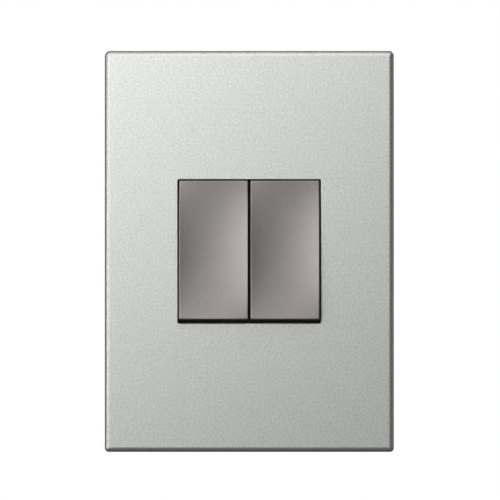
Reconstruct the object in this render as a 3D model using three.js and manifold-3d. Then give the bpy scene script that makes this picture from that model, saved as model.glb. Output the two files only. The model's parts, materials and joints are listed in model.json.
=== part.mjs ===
// Double rocker wall switch: two half-width switch modules side by side in a one-gang strap,
// behind a snap-on cover plate.
// Millimetres. +X is right, +Y goes into the wall and +Z is up. The origin lies on the wall's
// surface, behind the middle of the cover plate.

import * as THREE from 'three';
import { mergeVertices } from 'three/addons/utils/BufferGeometryUtils.js';
import Module from 'manifold-3d';

const wasm = await Module();
wasm.setup();

// ---------------------------------------------------------------- driving dimensions

const CLEARANCE = 0.3; // kept between neighbouring solids
const RIVET_CLEARANCE = 0.15; // kept between a contact rivet and its blade
const OVERLAP = 0.4; // how far joined shapes run into each other
const ROUND_SIDES = 18; // facets of a full turn

// Cover plate
const PLATE_WIDTH = 93.9;
const PLATE_HEIGHT = 130.2;
const PLATE_DEPTH = 8;
const PLATE_SKIN = 1.8;
const PLATE_WALL = 2;
const PLATE_CORNER = 1.2;
const PLATE_ROLL = 1;
const OPENING_WIDTH = 46.7;
const OPENING_HEIGHT = 46.9;
const OPENING_CORNER = 0.5;
const COLLAR_WALL = 1.3;
const COLLAR_DEPTH = 3.6;
const GUSSET_THICKNESS = 1.2;
const GUSSET_REACH = 3.4;
const GUSSET_END_Y = -1.3;
const GUSSET_XS = [-28.5, -9.5, 9.5, 28.5];
const GUSSET_ZS = [-59.85, -42.75, -25.65, 25.65, 42.75, 59.85];
const CATCH_Z = 30;
const CATCH_X = 20;
const CATCH_WIDTH = 7;
const CATCH_THICKNESS = 1.2;
const CATCH_GRIP = 1.5; // how far a catch reaches behind the carrier

// Carrier behind the cover plate
const CARRIER_WIDTH = 82;
const CARRIER_HEIGHT = 114;
const CARRIER_THICKNESS = 1.8;
const CARRIER_CORNER = 3;
const LEG_X = 17;
const LEG_Z = 31;
const LEG_WIDTH = 8;
const LEG_THICKNESS = 1.6;
const LEG_HOOK = 1;
const LEG_END_Y = 1.8;
const CARRIER_RIB_X = 37.5;
const CARRIER_RIB_WIDTH = 1.2;
const CARRIER_RIB_DEPTH = 2;
const CARRIER_RIB_LENGTH = 100;

// Mounting strap
const STRAP_THICKNESS = 0.9;
const STRAP_BACK_Y = -0.3;
const STRAP_PAD_WIDTH = 9;
const STRAP_PAD_HEIGHT = 7;
const STRAP_PAD_X = 14.5;
const STRAP_WIDTH = 70;
const STRAP_SHOULDER_HEIGHT = 76;
const STRAP_EAR_WIDTH = 44;
const STRAP_HEIGHT = 108;
const STRAP_SHOULDER_CORNER = 3;
const STRAP_EAR_CORNER = 5;
const STRAP_OPENING_WIDTH = 47;
const STRAP_OPENING_HEIGHT = 48.4;
const STRAP_FLANGE_Y = -3.9;
const STRAP_FLANGE_LENGTH = 68;
const EAR_HOLE_Z = 50;
const EAR_HOLE_RADIUS = 1.8;
const PLASTER_HOLE_X = 29;
const PLASTER_HOLE_Z = 31;
const PLASTER_HOLE_RADIUS = 1.6;

// Screws and small plates on the strap
const BOX_SCREW_SPACING = 83.3;
const BOX_SLOT_LENGTH = 8.4;
const BOX_SLOT_WIDTH = 4.4;
const BOX_SCREW = { headRadius: 3.5, headHeight: 2.2, shankRadius: 1.7, length: 23.5 };
const RETAINER_SIZE = 11;
const RETAINER_THICKNESS = 0.8;
const RETAINER_HOLE = 2.05;
const SCREW_SLOT = 0.9;
const GROUND_Z = -31;
const GROUND_HEX_RADIUS = 3.5;
const GROUND_HEAD = 2.2;
const GROUND_SHANK_RADIUS = 1.9;
const GROUND_SHANK_LENGTH = 4.9;
const GROUND_CLAMP_SIZE = 9;
const CLAMP_HOLE = 2.2;
const CLAMP_THICKNESS = 1;

// Switch module
const MODULE_PITCH = 23.14;
const BEZEL_WIDTH = 22.7;
const BEZEL_HEIGHT = 47.6;
const BEZEL_DECK_Y = -1;
const BEZEL_DECK = 1.4;
const BEZEL_BACK_Y = 6;
const BEZEL_LIP_Y = -2.5;
const BEZEL_SIDE_WALL = 1.4;
const BEZEL_END_WALL = 0.85;
const BEZEL_HOLLOW_HEIGHT = 43;
const BEZEL_FLANGE_WIDTH = 21.2;
const BEZEL_FLANGE_HEIGHT = 52.8;
const BEZEL_FLANGE_THICKNESS = 1;
const STEM_OPENING_WIDTH = 15.8;
const STEM_OPENING_HEIGHT = 10;
const HOOK_REACH = 1.2;
const HOOK_ROOT = 1;
const HOOK_END_Y = 2.4;
const HOUSING_WIDTH = 22.3;
const HOUSING_HEIGHT = 42;
const HOUSING_BACK_Y = 27.6;
const HOUSING_WALL = 1.3;
const HOUSING_FLOOR = 1.4;
const END_HOLLOW_Z = 20;
const END_HOLLOW_Y = 11;
const SNAP_ARM_WIDTH = 8;
const SNAP_ARM_THICKNESS = 1;
const SNAP_ARM_END_Y = 13;
const WINDOW_WIDTH = 3.6;
const WINDOW_YS = [8.6, 11.4];
const WEDGE_WIDTH = 3;
const WEDGE_YS = [9, 9.4, 11];
const LABEL_WIDTH = 12;
const LABEL_HEIGHT = 14;
const LABEL_DEPTH = 0.4;

// Rocker
const PIVOT_Y = -2;
const ROCKER_TILT = THREE.MathUtils.degToRad(4.5); // either side of level
const PADDLE_WIDTH = 22.5;
const PADDLE_HEIGHT = 45;
const PADDLE_REACH = 7.9; // pivot axis to face
const PADDLE_DEPTH = 6.4;
const PADDLE_FACE = 1.4;
const PADDLE_WALL = 1.2;
const PADDLE_CORNER = 0.6;
const PADDLE_ROLL = 0.4;
const CRADLE_THICKNESS = 1.2;
const CRADLE_RIB_THICKNESS = 1;
const CRADLE_RIB_DEPTH = 1.5;
const CRADLE_RIB_LENGTH = 38;
const PIN_RADIUS = 1;
const PIN_LENGTH = 18.8;
const LUG_INNER_X = 8;
const LUG_OUTER_X = 9.6;
const LUG_RADIUS = 2.4;
const HUB_RADIUS = 2.6;
const HUB_WIDTH = 14.8;
const STEM_RADIUS = 3;
const STEM_REACH = 13;
const STEM_BORE = 2;
const STEM_BORE_START = 2.9;

// Plunger and its spring, along the stem
const PLUNGER_RADIUS = 1.7;
const PLUNGER_START = 9.3;
const PLUNGER_TIP = 15.5;
const SPRING_RADIUS = 1.4;
const SPRING_WIRE = 0.25;
const SPRING_TURNS = 6;
const SPRING_STEPS_PER_TURN = 10;
const SPRING_SECTION_SEGMENTS = 3;
const PLUNGER_NOSE_STEPS = 5;

// Contacts
const FULCRUM_Y = 15;
const LEVER_TILT = THREE.MathUtils.degToRad(6); // either side of level
const LEVER_THICKNESS = 0.8;
const LEVER_WIDTH = 7.1;
const LEVER_LOWER_REACH = 9.6;
const LEVER_UPPER_REACH = 5.6;
const LEVER_EAR = 0.5;
const LEVER_EAR_LENGTH = 4;
const LEVER_EAR_REACH = 1.6;
const BLADE_WIDTH = 5.5;
const BLADE_THICKNESS = 1;
const CONTACT_Z = -7.4;
const CONTACT_RADIUS = 2;
const CONTACT_THICKNESS = 0.9;
const RIVET_RADIUS = 0.9;
const RIVET_HEAD_RADIUS = 1.6;
const RIVET_HEAD = 0.5;
const RIVET_EDGE = 0.3;

// Terminals at the two ends of a housing
const POCKET_Z = 17.2;
const POCKET_WIDTH = 13;
const POCKET_Y = 12.3;
const TAB_WIDTH = 9.6;
const TAB_THICKNESS = 1;
const TAB_START_Y = 17.6;
const TERMINAL_SCREW_Y = 21.6;
const TERMINAL_SCREW = { headRadius: 3.2, headHeight: 2, shankRadius: 1.9, length: 4.1 };
const SCREW_RELIEF_RADIUS = 2.4;
const CLAMP_WIDTH = 8;
const CLAMP_HEIGHT = 7.4;
const WIRE_HOLE_X = 3.4;
const WIRE_HOLE_RADIUS = 1.4;
const WIRE_HOLE_INSET = 1.7;
const FOOT_WIDTH = 7.6;
const COMMON_SLOT_WIDTH = 8.4;
const COMMON_SLOT_Y = 24.5;
const LOAD_ARM_WIDTH = 6.6;
const LOAD_ARM_OVERHANG = 3.2; // past the fixed contact's centre
const LOAD_SLOT_WIDTH = 7.4;
const ARM_REST_WIDTH = 6;
const ARM_REST_ZS = [-14.5, -12];

// Guides for the common terminal's blade, on the housing's floor
const RAIL_WIDTH = 1;
const RAIL_START_Y = 18.2;
const RAIL_GAP = 0.8;
const RAIL_THICKNESS = 0.8;
const BRIDGE_YS = [23.2, 24];
const STRUT_XS = [4.4, 5.4];

// ---------------------------------------------------------------- derived dimensions

const HOUSING_FRONT_Y = BEZEL_BACK_Y + CLEARANCE;
const FLOOR_Y = HOUSING_BACK_Y - HOUSING_FLOOR;
const HOUSING_INSIDE_XS = [-HOUSING_WIDTH / 2 + HOUSING_WALL, HOUSING_WIDTH / 2 - HOUSING_WALL];
const CAVITY_HALF_Z = POCKET_Z - TAB_THICKNESS;
const TAB_Z = POCKET_Z + CLEARANCE;
const BASE_BACK_Y = FLOOR_Y - CLEARANCE;
const MOVING_FACE = -CLEARANCE + RIVET_CLEARANCE + CONTACT_THICKNESS;
const CLOSED_FACE_Y = FULCRUM_Y + MOVING_FACE * Math.cos(LEVER_TILT)
  + (CONTACT_RADIUS - CONTACT_Z) * Math.sin(LEVER_TILT);
const FIXED_FACE_Y = CLOSED_FACE_Y + CLEARANCE;
const LOAD_ARM_Y = FIXED_FACE_Y + CONTACT_THICKNESS + RIVET_CLEARANCE;
const CARRIER_FRONT_Y = -PLATE_DEPTH + PLATE_SKIN + CLEARANCE;
const CARRIER_BACK_Y = CARRIER_FRONT_Y + CARRIER_THICKNESS;
const STRAP_FRONT_Y = STRAP_BACK_Y - STRAP_THICKNESS;
const BEHIND_STRAP_Y = STRAP_BACK_Y + CLEARANCE;
const STRAP_CUT = [STRAP_FRONT_Y - 1, 1]; // right through the strap
const PLATE_INSIDE_X = PLATE_WIDTH / 2 - PLATE_WALL;
const PLATE_INSIDE_Z = PLATE_HEIGHT / 2 - PLATE_WALL;
const COLLAR_WIDTH = OPENING_WIDTH + 2 * COLLAR_WALL;
const COLLAR_HEIGHT = OPENING_HEIGHT + 2 * COLLAR_WALL;

// ---------------------------------------------------------------- shape helpers

/** A range of the given width about a centre. */
function span(width, centre = 0) {
  return [centre - width / 2, centre + width / 2];
}

/** The same range on the +Z side or, mirrored, on the -Z side. */
function onSide(side, low, high) {
  return side > 0 ? [low, high] : [-high, -low];
}

function slab(xs, ys, zs) {
  const box = new THREE.BoxGeometry(xs[1] - xs[0], ys[1] - ys[0], zs[1] - zs[0]);
  return box.translate((xs[0] + xs[1]) / 2, (ys[0] + ys[1]) / 2, (zs[0] + zs[1]) / 2);
}

function rodX(radius, xs, y, z, sides = ROUND_SIDES) {
  const rod = new THREE.CylinderGeometry(radius, radius, xs[1] - xs[0], sides);
  return rod.rotateZ(Math.PI / 2).translate((xs[0] + xs[1]) / 2, y, z);
}

function rodY(radius, ys, x, z, sides = ROUND_SIDES) {
  const rod = new THREE.CylinderGeometry(radius, radius, ys[1] - ys[0], sides);
  return rod.translate(x, (ys[0] + ys[1]) / 2, z);
}

function rodZ(radius, zs, x, y, sides = ROUND_SIDES) {
  const rod = new THREE.CylinderGeometry(radius, radius, zs[1] - zs[0], sides);
  return rod.rotateX(Math.PI / 2).translate(x, y, (zs[0] + zs[1]) / 2);
}

function roundedRectangle(width, height, radius) {
  const x = width / 2 - radius;
  const y = height / 2 - radius;
  const quarter = Math.PI / 2;
  const shape = new THREE.Shape();
  shape.absarc(x, y, radius, 0, quarter);
  shape.absarc(-x, y, radius, quarter, 2 * quarter);
  shape.absarc(-x, -y, radius, 2 * quarter, 3 * quarter);
  shape.absarc(x, -y, radius, 3 * quarter, 4 * quarter);
  shape.closePath();
  return shape;
}

/** Extrudes an outline drawn in X and Z from y = front to y = back. */
function plateAlongY(shape, front, back, curveSegments = 4) {
  const options = { depth: back - front, bevelEnabled: false, curveSegments };
  const geometry = new THREE.ExtrudeGeometry(shape, options);
  return geometry.rotateX(Math.PI / 2).translate(0, back, 0);
}

/** The same with its front edge rounded off; its back is cut square. */
function roundedPlateAlongY(shape, front, back, roll, segments) {
  const options = {
    depth: back - front - roll,
    bevelEnabled: true,
    bevelThickness: roll,
    bevelSize: roll,
    bevelOffset: -roll,
    bevelSegments: segments,
    curveSegments: segments,
  };
  const geometry = new THREE.ExtrudeGeometry(shape, options);
  geometry.rotateX(Math.PI / 2).translate(0, back, 0);
  const reach = 2 * (PLATE_WIDTH + PLATE_HEIGHT);
  return cut(geometry, slab(span(reach), [back, back + reach], span(reach)));
}

/** Extrudes an outline given as [y, z] corners along X. */
function prismAlongX(corners, xs) {
  const shape = new THREE.Shape(corners.map(([y, z]) => new THREE.Vector2(y, z)));
  const geometry = new THREE.ExtrudeGeometry(shape, { depth: xs[1] - xs[0], bevelEnabled: false });
  const turn = new THREE.Matrix4().makeBasis(
    new THREE.Vector3(0, 1, 0),
    new THREE.Vector3(0, 0, 1),
    new THREE.Vector3(1, 0, 0),
  );
  return geometry.applyMatrix4(turn).translate(xs[0], 0, 0);
}

/** A closed solid of revolution about Y; corners run as [radius, y] from low y to high y. */
function turned(corners, sides = ROUND_SIDES) {
  const profile = corners.map(([radius, y]) => new THREE.Vector2(radius, y));
  return new THREE.LatheGeometry(profile, sides);
}

/** Merges shared corners and drops the slivers that have no area. */
function weld(geometry) {
  const bare = geometry.clone();
  bare.deleteAttribute('normal');
  bare.deleteAttribute('uv');
  const merged = mergeVertices(bare, 1e-4);
  const kept = [];
  const source = merged.index.array;
  for (let i = 0; i < source.length; i += 3) {
    const [a, b, c] = [source[i], source[i + 1], source[i + 2]];
    if (a !== b && b !== c && c !== a) kept.push(a, b, c);
  }
  merged.setIndex(kept);
  return merged;
}

function toSolid(geometry) {
  const welded = weld(geometry);
  const vertProperties = Float32Array.from(welded.attributes.position.array);
  const triVerts = Uint32Array.from(welded.index.array);
  return new wasm.Manifold(new wasm.Mesh({ numProp: 3, vertProperties, triVerts }));
}

function toGeometry(solid) {
  const mesh = solid.getMesh();
  const geometry = new THREE.BufferGeometry();
  geometry.setAttribute('position', new THREE.BufferAttribute(mesh.vertProperties, 3));
  geometry.setIndex(new THREE.BufferAttribute(mesh.triVerts, 1));
  return geometry;
}

function join(...geometries) {
  const solids = geometries.map(toSolid);
  return toGeometry(solids.reduce((whole, next) => whole.add(next)));
}

function cut(geometry, ...tools) {
  const solids = tools.map(toSolid);
  return toGeometry(solids.reduce((whole, next) => whole.subtract(next), toSolid(geometry)));
}

// ---------------------------------------------------------------- cover plate and carrier

/** Gussets that stand between the plate's skin and its side walls. */
function plateGussets() {
  const gussets = [];
  const ys = [-PLATE_DEPTH + PLATE_SKIN - OVERLAP, GUSSET_END_Y];
  for (const side of [-1, 1]) {
    const xs = onSide(side, PLATE_INSIDE_X - GUSSET_REACH, PLATE_INSIDE_X + OVERLAP);
    const zs = onSide(side, PLATE_INSIDE_Z - GUSSET_REACH, PLATE_INSIDE_Z + OVERLAP);
    gussets.push(...GUSSET_ZS.map((z) => slab(xs, ys, span(GUSSET_THICKNESS, z))));
    gussets.push(...GUSSET_XS.map((x) => slab(span(GUSSET_THICKNESS, x), ys, zs)));
  }
  return gussets;
}

/** Catches on the side walls that hold the carrier by its rear edge. */
function plateCatches() {
  const catches = [];
  const front = CARRIER_BACK_Y + CLEARANCE;
  const ys = [front, front + CATCH_THICKNESS];
  for (const side of [-1, 1]) {
    const xs = onSide(side, CARRIER_WIDTH / 2 - CATCH_GRIP, PLATE_INSIDE_X + OVERLAP);
    const zs = onSide(side, CARRIER_HEIGHT / 2 - CATCH_GRIP, PLATE_INSIDE_Z + OVERLAP);
    for (const along of [-1, 1]) {
      catches.push(slab(xs, ys, span(CATCH_WIDTH, along * CATCH_Z)));
      catches.push(slab(span(CATCH_WIDTH, along * CATCH_X), ys, zs));
    }
  }
  return catches;
}

function wallPlate() {
  const skinBack = -PLATE_DEPTH + PLATE_SKIN;
  const outline = roundedRectangle(PLATE_WIDTH, PLATE_HEIGHT, PLATE_CORNER);
  const blank = roundedPlateAlongY(outline, -PLATE_DEPTH, 0, PLATE_ROLL, 4);
  const hollow = slab(span(2 * PLATE_INSIDE_X), [skinBack, 1], span(2 * PLATE_INSIDE_Z));
  const collarYs = [skinBack - OVERLAP, -PLATE_DEPTH + COLLAR_DEPTH];
  const collar = slab(span(COLLAR_WIDTH), collarYs, span(COLLAR_HEIGHT));
  const opening = roundedRectangle(OPENING_WIDTH, OPENING_HEIGHT, OPENING_CORNER);
  const shell = join(cut(blank, hollow), collar, ...plateGussets(), ...plateCatches());
  return cut(shell, plateAlongY(opening, -PLATE_DEPTH - 1, 1, 3));
}

/** A snap leg with its hook on the outer side, at one corner of the module opening. */
function snapLeg(sideX, sideZ) {
  const inner = LEG_Z - LEG_THICKNESS / 2;
  const outer = LEG_Z + LEG_THICKNESS / 2;
  const front = CARRIER_BACK_Y - OVERLAP;
  const corners = [
    [front, inner],
    [LEG_END_Y, inner],
    [LEG_END_Y, outer - LEG_THICKNESS / 3],
    [BEHIND_STRAP_Y, outer + LEG_HOOK],
    [BEHIND_STRAP_Y, outer],
    [front, outer],
  ];
  const placed = corners.map(([y, z]) => [y, sideZ * z]);
  return prismAlongX(placed, span(LEG_WIDTH, sideX * LEG_X));
}

function plateCarrier() {
  const outline = roundedRectangle(CARRIER_WIDTH, CARRIER_HEIGHT, CARRIER_CORNER);
  const ring = plateAlongY(outline, CARRIER_FRONT_Y, CARRIER_BACK_Y);
  const opening = slab(
    span(COLLAR_WIDTH + 2 * CLEARANCE),
    [-PLATE_DEPTH, 0],
    span(COLLAR_HEIGHT + 2 * CLEARANCE),
  );
  const ribYs = [CARRIER_BACK_Y - OVERLAP, CARRIER_BACK_Y + CARRIER_RIB_DEPTH];
  const added = [];
  for (const side of [-1, 1]) {
    const xs = span(CARRIER_RIB_WIDTH, side * CARRIER_RIB_X);
    added.push(slab(xs, ribYs, span(CARRIER_RIB_LENGTH)));
    for (const other of [-1, 1]) added.push(snapLeg(side, other));
  }
  return cut(join(ring, ...added), opening);
}

// ---------------------------------------------------------------- strap and its fasteners

/** A slot with round ends that runs along X, through the strap. */
function strapSlot(length, width, z) {
  const reach = (length - width) / 2;
  return join(
    slab(span(2 * reach), STRAP_CUT, span(width, z)),
    rodY(width / 2, STRAP_CUT, -reach, z),
    rodY(width / 2, STRAP_CUT, reach, z),
  );
}

/** The strap's slots and holes at its two ends, and the four slots for the carrier's legs. */
function strapHoles() {
  const holes = [rodY(CLAMP_HOLE, STRAP_CUT, 0, GROUND_Z)];
  for (const side of [-1, 1]) {
    holes.push(strapSlot(BOX_SLOT_LENGTH, BOX_SLOT_WIDTH, side * BOX_SCREW_SPACING / 2));
    holes.push(rodY(EAR_HOLE_RADIUS, STRAP_CUT, 0, side * EAR_HOLE_Z));
    for (const other of [-1, 1]) {
      const legXs = span(LEG_WIDTH + 1, side * LEG_X);
      const legZs = span(LEG_THICKNESS + LEG_HOOK - 0.2, other * LEG_Z);
      holes.push(slab(legXs, STRAP_CUT, legZs));
      holes.push(rodY(PLASTER_HOLE_RADIUS, STRAP_CUT, side * PLASTER_HOLE_X, other * PLASTER_HOLE_Z));
    }
  }
  return holes;
}

function mountingStrap() {
  const ys = [STRAP_FRONT_Y, STRAP_BACK_Y];
  const shoulders = roundedRectangle(STRAP_WIDTH, STRAP_SHOULDER_HEIGHT, STRAP_SHOULDER_CORNER);
  const ears = roundedRectangle(STRAP_EAR_WIDTH, STRAP_HEIGHT, STRAP_EAR_CORNER);
  const opening = slab(span(STRAP_OPENING_WIDTH), STRAP_CUT, span(STRAP_OPENING_HEIGHT));
  const padYs = [STRAP_BACK_Y - OVERLAP, 0];
  const padZ = STRAP_HEIGHT / 2 - 2 - STRAP_PAD_HEIGHT / 2;
  const added = [];
  for (const side of [-1, 1]) {
    const flange = onSide(side, STRAP_WIDTH / 2 - STRAP_THICKNESS, STRAP_WIDTH / 2);
    added.push(slab(flange, [STRAP_FLANGE_Y, STRAP_BACK_Y], span(STRAP_FLANGE_LENGTH)));
    const padXs = span(STRAP_PAD_WIDTH, side * STRAP_PAD_X);
    for (const other of [-1, 1]) {
      added.push(slab(padXs, padYs, span(STRAP_PAD_HEIGHT, other * padZ)));
    }
  }
  const blank = join(plateAlongY(shoulders, ...ys), plateAlongY(ears, ...ys), ...added);
  return cut(blank, opening, ...strapHoles());
}

/** A round-headed screw along Y: its head's underside is at y = 0 and the shank runs to +Y. */
function slottedScrew({ headRadius, headHeight, shankRadius, length }) {
  const rim = headHeight * 0.55;
  const body = turned([
    [0, -headHeight],
    [headRadius * 0.6, -headHeight * 0.94],
    [headRadius * 0.9, -headHeight * 0.75],
    [headRadius, -rim],
    [headRadius, 0],
    [shankRadius, 0],
    [shankRadius, length - shankRadius * 0.5],
    [shankRadius * 0.5, length],
    [0, length],
  ]);
  const slotYs = [-headHeight - 1, -headHeight / 2];
  return cut(body, slab(span(2.4 * headRadius), slotYs, span(SCREW_SLOT)));
}

function screwRetainer() {
  const ys = [BEHIND_STRAP_Y, BEHIND_STRAP_Y + RETAINER_THICKNESS];
  const square = slab(span(RETAINER_SIZE), ys, span(RETAINER_SIZE));
  return cut(square, rodY(RETAINER_HOLE, [ys[0] - 1, ys[1] + 1], 0, 0));
}

/** A flat clamp with a hole for its screw; its front is at y = 0. */
function clampPlate(width, height) {
  const base = slab(span(width), [0, CLAMP_THICKNESS], span(height));
  return cut(base, rodY(CLAMP_HOLE, [-1, CLAMP_THICKNESS + 1], 0, 0));
}

function groundScrew() {
  const head = rodY(GROUND_HEX_RADIUS, [-GROUND_HEAD, 0], 0, 0, 6);
  const shank = rodY(GROUND_SHANK_RADIUS, [-OVERLAP, GROUND_SHANK_LENGTH], 0, 0);
  const slotYs = [-GROUND_HEAD - 1, -GROUND_HEAD / 2];
  const slot = slab(span(3 * GROUND_HEX_RADIUS), slotYs, span(SCREW_SLOT));
  return cut(join(head, shank), slot);
}

// ---------------------------------------------------------------- switch module, fixed pieces

/** Arms at the bezel's two ends that snap over the wedges of the housing. */
function bezelArms() {
  const arms = [];
  const ys = [BEZEL_BACK_Y - 1, SNAP_ARM_END_Y];
  for (const side of [-1, 1]) {
    const inner = HOUSING_HEIGHT / 2 + CLEARANCE;
    const outer = inner + SNAP_ARM_THICKNESS;
    const arm = slab(span(SNAP_ARM_WIDTH), ys, onSide(side, inner, outer));
    const window = slab(span(WINDOW_WIDTH), WINDOW_YS, onSide(side, inner - 1, outer + 1));
    arms.push(cut(arm, window));
  }
  return arms;
}

/** What stands on one end of a bezel: the lip, the flange on the strap and the hook behind it. */
function bezelEnd(side) {
  const halfHeight = BEZEL_HEIGHT / 2;
  const inner = halfHeight - BEZEL_END_WALL;
  const flangeYs = [BEZEL_LIP_Y, BEZEL_LIP_Y + BEZEL_FLANGE_THICKNESS];
  const lipYs = [BEZEL_LIP_Y, BEZEL_DECK_Y + OVERLAP];
  const hook = [
    [BEHIND_STRAP_Y, halfHeight - HOOK_ROOT],
    [BEHIND_STRAP_Y, halfHeight + HOOK_REACH],
    [HOOK_END_Y, halfHeight - HOOK_ROOT],
  ];
  return [
    slab(span(BEZEL_WIDTH), lipYs, onSide(side, inner, halfHeight)),
    slab(span(BEZEL_FLANGE_WIDTH), flangeYs, onSide(side, inner, BEZEL_FLANGE_HEIGHT / 2)),
    prismAlongX(hook.map(([y, z]) => [y, side * z]), span(SNAP_ARM_WIDTH)),
  ];
}

/** One of the two lugs that hold the pivot pin. */
function pivotLug(side) {
  const xs = onSide(side, LUG_INNER_X, LUG_OUTER_X);
  return [
    slab(xs, [PIVOT_Y, BEZEL_DECK_Y + OVERLAP], span(2 * LUG_RADIUS)),
    rodX(LUG_RADIUS, xs, PIVOT_Y, 0),
  ];
}

function switchBezel() {
  const body = slab(span(BEZEL_WIDTH), [BEZEL_DECK_Y, BEZEL_BACK_Y], span(BEZEL_HEIGHT));
  const under = slab(
    span(BEZEL_WIDTH - 2 * BEZEL_SIDE_WALL),
    [BEZEL_DECK_Y + BEZEL_DECK, BEZEL_BACK_Y + 1],
    span(BEZEL_HOLLOW_HEIGHT),
  );
  const added = [-1, 1].flatMap((side) => [...bezelEnd(side), ...pivotLug(side)]);
  const throughDeck = [BEZEL_DECK_Y - 1, BEZEL_DECK_Y + BEZEL_DECK + 1];
  const stemOpening = slab(span(STEM_OPENING_WIDTH), throughDeck, span(STEM_OPENING_HEIGHT));
  const pinHole = rodX(PIN_RADIUS + CLEARANCE, span(BEZEL_WIDTH), PIVOT_Y, 0);
  return join(cut(join(cut(body, under), ...added), stemOpening, pinHole), ...bezelArms());
}

/** What the two ends of a housing hold: a pocket, a screw relief and two wire holes. */
function housingEndCuts(side) {
  const outside = HOUSING_HEIGHT / 2 + 1;
  const lowerWall = onSide(side, CAVITY_HALF_Z - 1, POCKET_Z + 1);
  const hollowYs = [HOUSING_FRONT_Y - 1, END_HOLLOW_Y];
  const cuts = [
    slab(span(POCKET_WIDTH), [POCKET_Y, FLOOR_Y], onSide(side, POCKET_Z, outside)),
    slab(HOUSING_INSIDE_XS, hollowYs, onSide(side, POCKET_Z, END_HOLLOW_Z)),
    rodZ(SCREW_RELIEF_RADIUS, lowerWall, 0, TERMINAL_SCREW_Y),
  ];
  for (const x of [-WIRE_HOLE_X, WIRE_HOLE_X]) {
    const z = side * (POCKET_Z + WIRE_HOLE_INSET);
    cuts.push(rodY(WIRE_HOLE_RADIUS, [FLOOR_Y - 1, HOUSING_BACK_Y + 1], x, z));
  }
  return cuts;
}

/** The recesses in a housing that let the two terminals through, and the label recess. */
function housingSlots() {
  const loadYs = [LOAD_ARM_Y - CLEARANCE, LOAD_ARM_Y + LEVER_THICKNESS + CLEARANCE];
  const labelYs = [HOUSING_BACK_Y - LABEL_DEPTH, HOUSING_BACK_Y + 1];
  const wall = [CAVITY_HALF_Z - 1, POCKET_Z + 1];
  return [
    slab(span(COMMON_SLOT_WIDTH), [COMMON_SLOT_Y, FLOOR_Y], onSide(1, ...wall)),
    slab(span(LOAD_SLOT_WIDTH), loadYs, onSide(-1, ...wall)),
    slab(span(LABEL_WIDTH), labelYs, span(LABEL_HEIGHT)),
  ];
}

/** Rails either side of the common terminal's blade, with struts that brace the upper pair. */
function bladeGuides(side) {
  const railXs = onSide(side, BLADE_WIDTH / 2 + CLEARANCE, BLADE_WIDTH / 2 + CLEARANCE + RAIL_WIDTH);
  const bridgeXs = onSide(side, BLADE_WIDTH / 2 + CLEARANCE, STRUT_XS[1]);
  const below = [-RAIL_GAP - RAIL_THICKNESS, -RAIL_GAP];
  const above = [RAIL_GAP, RAIL_GAP + RAIL_THICKNESS];
  return [
    slab(railXs, [RAIL_START_Y, FLOOR_Y + OVERLAP], below),
    slab(railXs, [RAIL_START_Y, BRIDGE_YS[1]], above),
    slab(bridgeXs, BRIDGE_YS, above),
    slab(onSide(side, ...STRUT_XS), [BRIDGE_YS[1] - OVERLAP, FLOOR_Y + OVERLAP], above),
  ];
}

/** The wedge that a bezel arm's window snaps over. */
function housingWedge(side) {
  const wall = HOUSING_HEIGHT / 2;
  const corners = [
    [WEDGE_YS[0], wall - OVERLAP],
    [WEDGE_YS[2], wall - OVERLAP],
    [WEDGE_YS[2], wall + SNAP_ARM_THICKNESS],
    [WEDGE_YS[1], wall],
  ];
  return prismAlongX(corners.map(([y, z]) => [y, side * z]), span(WEDGE_WIDTH));
}

function switchHousing() {
  const ys = [HOUSING_FRONT_Y, HOUSING_BACK_Y];
  const body = slab(span(HOUSING_WIDTH), ys, span(HOUSING_HEIGHT));
  const cavityYs = [HOUSING_FRONT_Y - 1, FLOOR_Y];
  const cavity = slab(HOUSING_INSIDE_XS, cavityYs, span(2 * CAVITY_HALF_Z));
  const shell = cut(body, cavity, ...housingSlots(), ...housingEndCuts(-1), ...housingEndCuts(1));
  const restYs = [LOAD_ARM_Y + LEVER_THICKNESS + CLEARANCE, FLOOR_Y + OVERLAP];
  const armRest = slab(span(ARM_REST_WIDTH), restYs, ARM_REST_ZS);
  const added = [-1, 1].flatMap((side) => [...bladeGuides(side), housingWedge(side)]);
  return join(shell, armRest, ...added);
}

function pivotPin() {
  return rodX(PIN_RADIUS, span(PIN_LENGTH), PIVOT_Y, 0);
}

/** A terminal's screw tab, with its hole, at the +Z or the -Z end. */
function terminalTab(side) {
  const zs = onSide(side, TAB_Z, TAB_Z + TAB_THICKNESS);
  const tab = slab(span(TAB_WIDTH), [TAB_START_Y, BASE_BACK_Y], zs);
  return cut(tab, rodZ(CLAMP_HOLE, [zs[0] - 1, zs[1] + 1], 0, TERMINAL_SCREW_Y));
}

/** The common terminal: a fulcrum blade, a foot along the floor and the screw tab. */
function commonTerminal() {
  const blade = slab(span(BLADE_WIDTH), [FULCRUM_Y, BASE_BACK_Y], span(BLADE_THICKNESS));
  const footYs = [BASE_BACK_Y - TAB_THICKNESS, BASE_BACK_Y];
  const foot = slab(span(FOOT_WIDTH), footYs, [-BLADE_THICKNESS / 2, TAB_Z + TAB_THICKNESS]);
  return join(blade, foot, terminalTab(1));
}

/** The load terminal: an arm that carries the fixed contact, and the screw tab. */
function loadTerminal() {
  const armYs = [LOAD_ARM_Y, LOAD_ARM_Y + LEVER_THICKNESS];
  const armZs = [-TAB_Z - TAB_THICKNESS, CONTACT_Z + LOAD_ARM_OVERHANG];
  const arm = slab(span(LOAD_ARM_WIDTH), armYs, armZs);
  const rivetHole = rodY(RIVET_RADIUS + CLEARANCE, [armYs[0] - 1, armYs[1] + 1], 0, CONTACT_Z);
  return join(cut(arm, rivetHole), terminalTab(-1));
}

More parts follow.
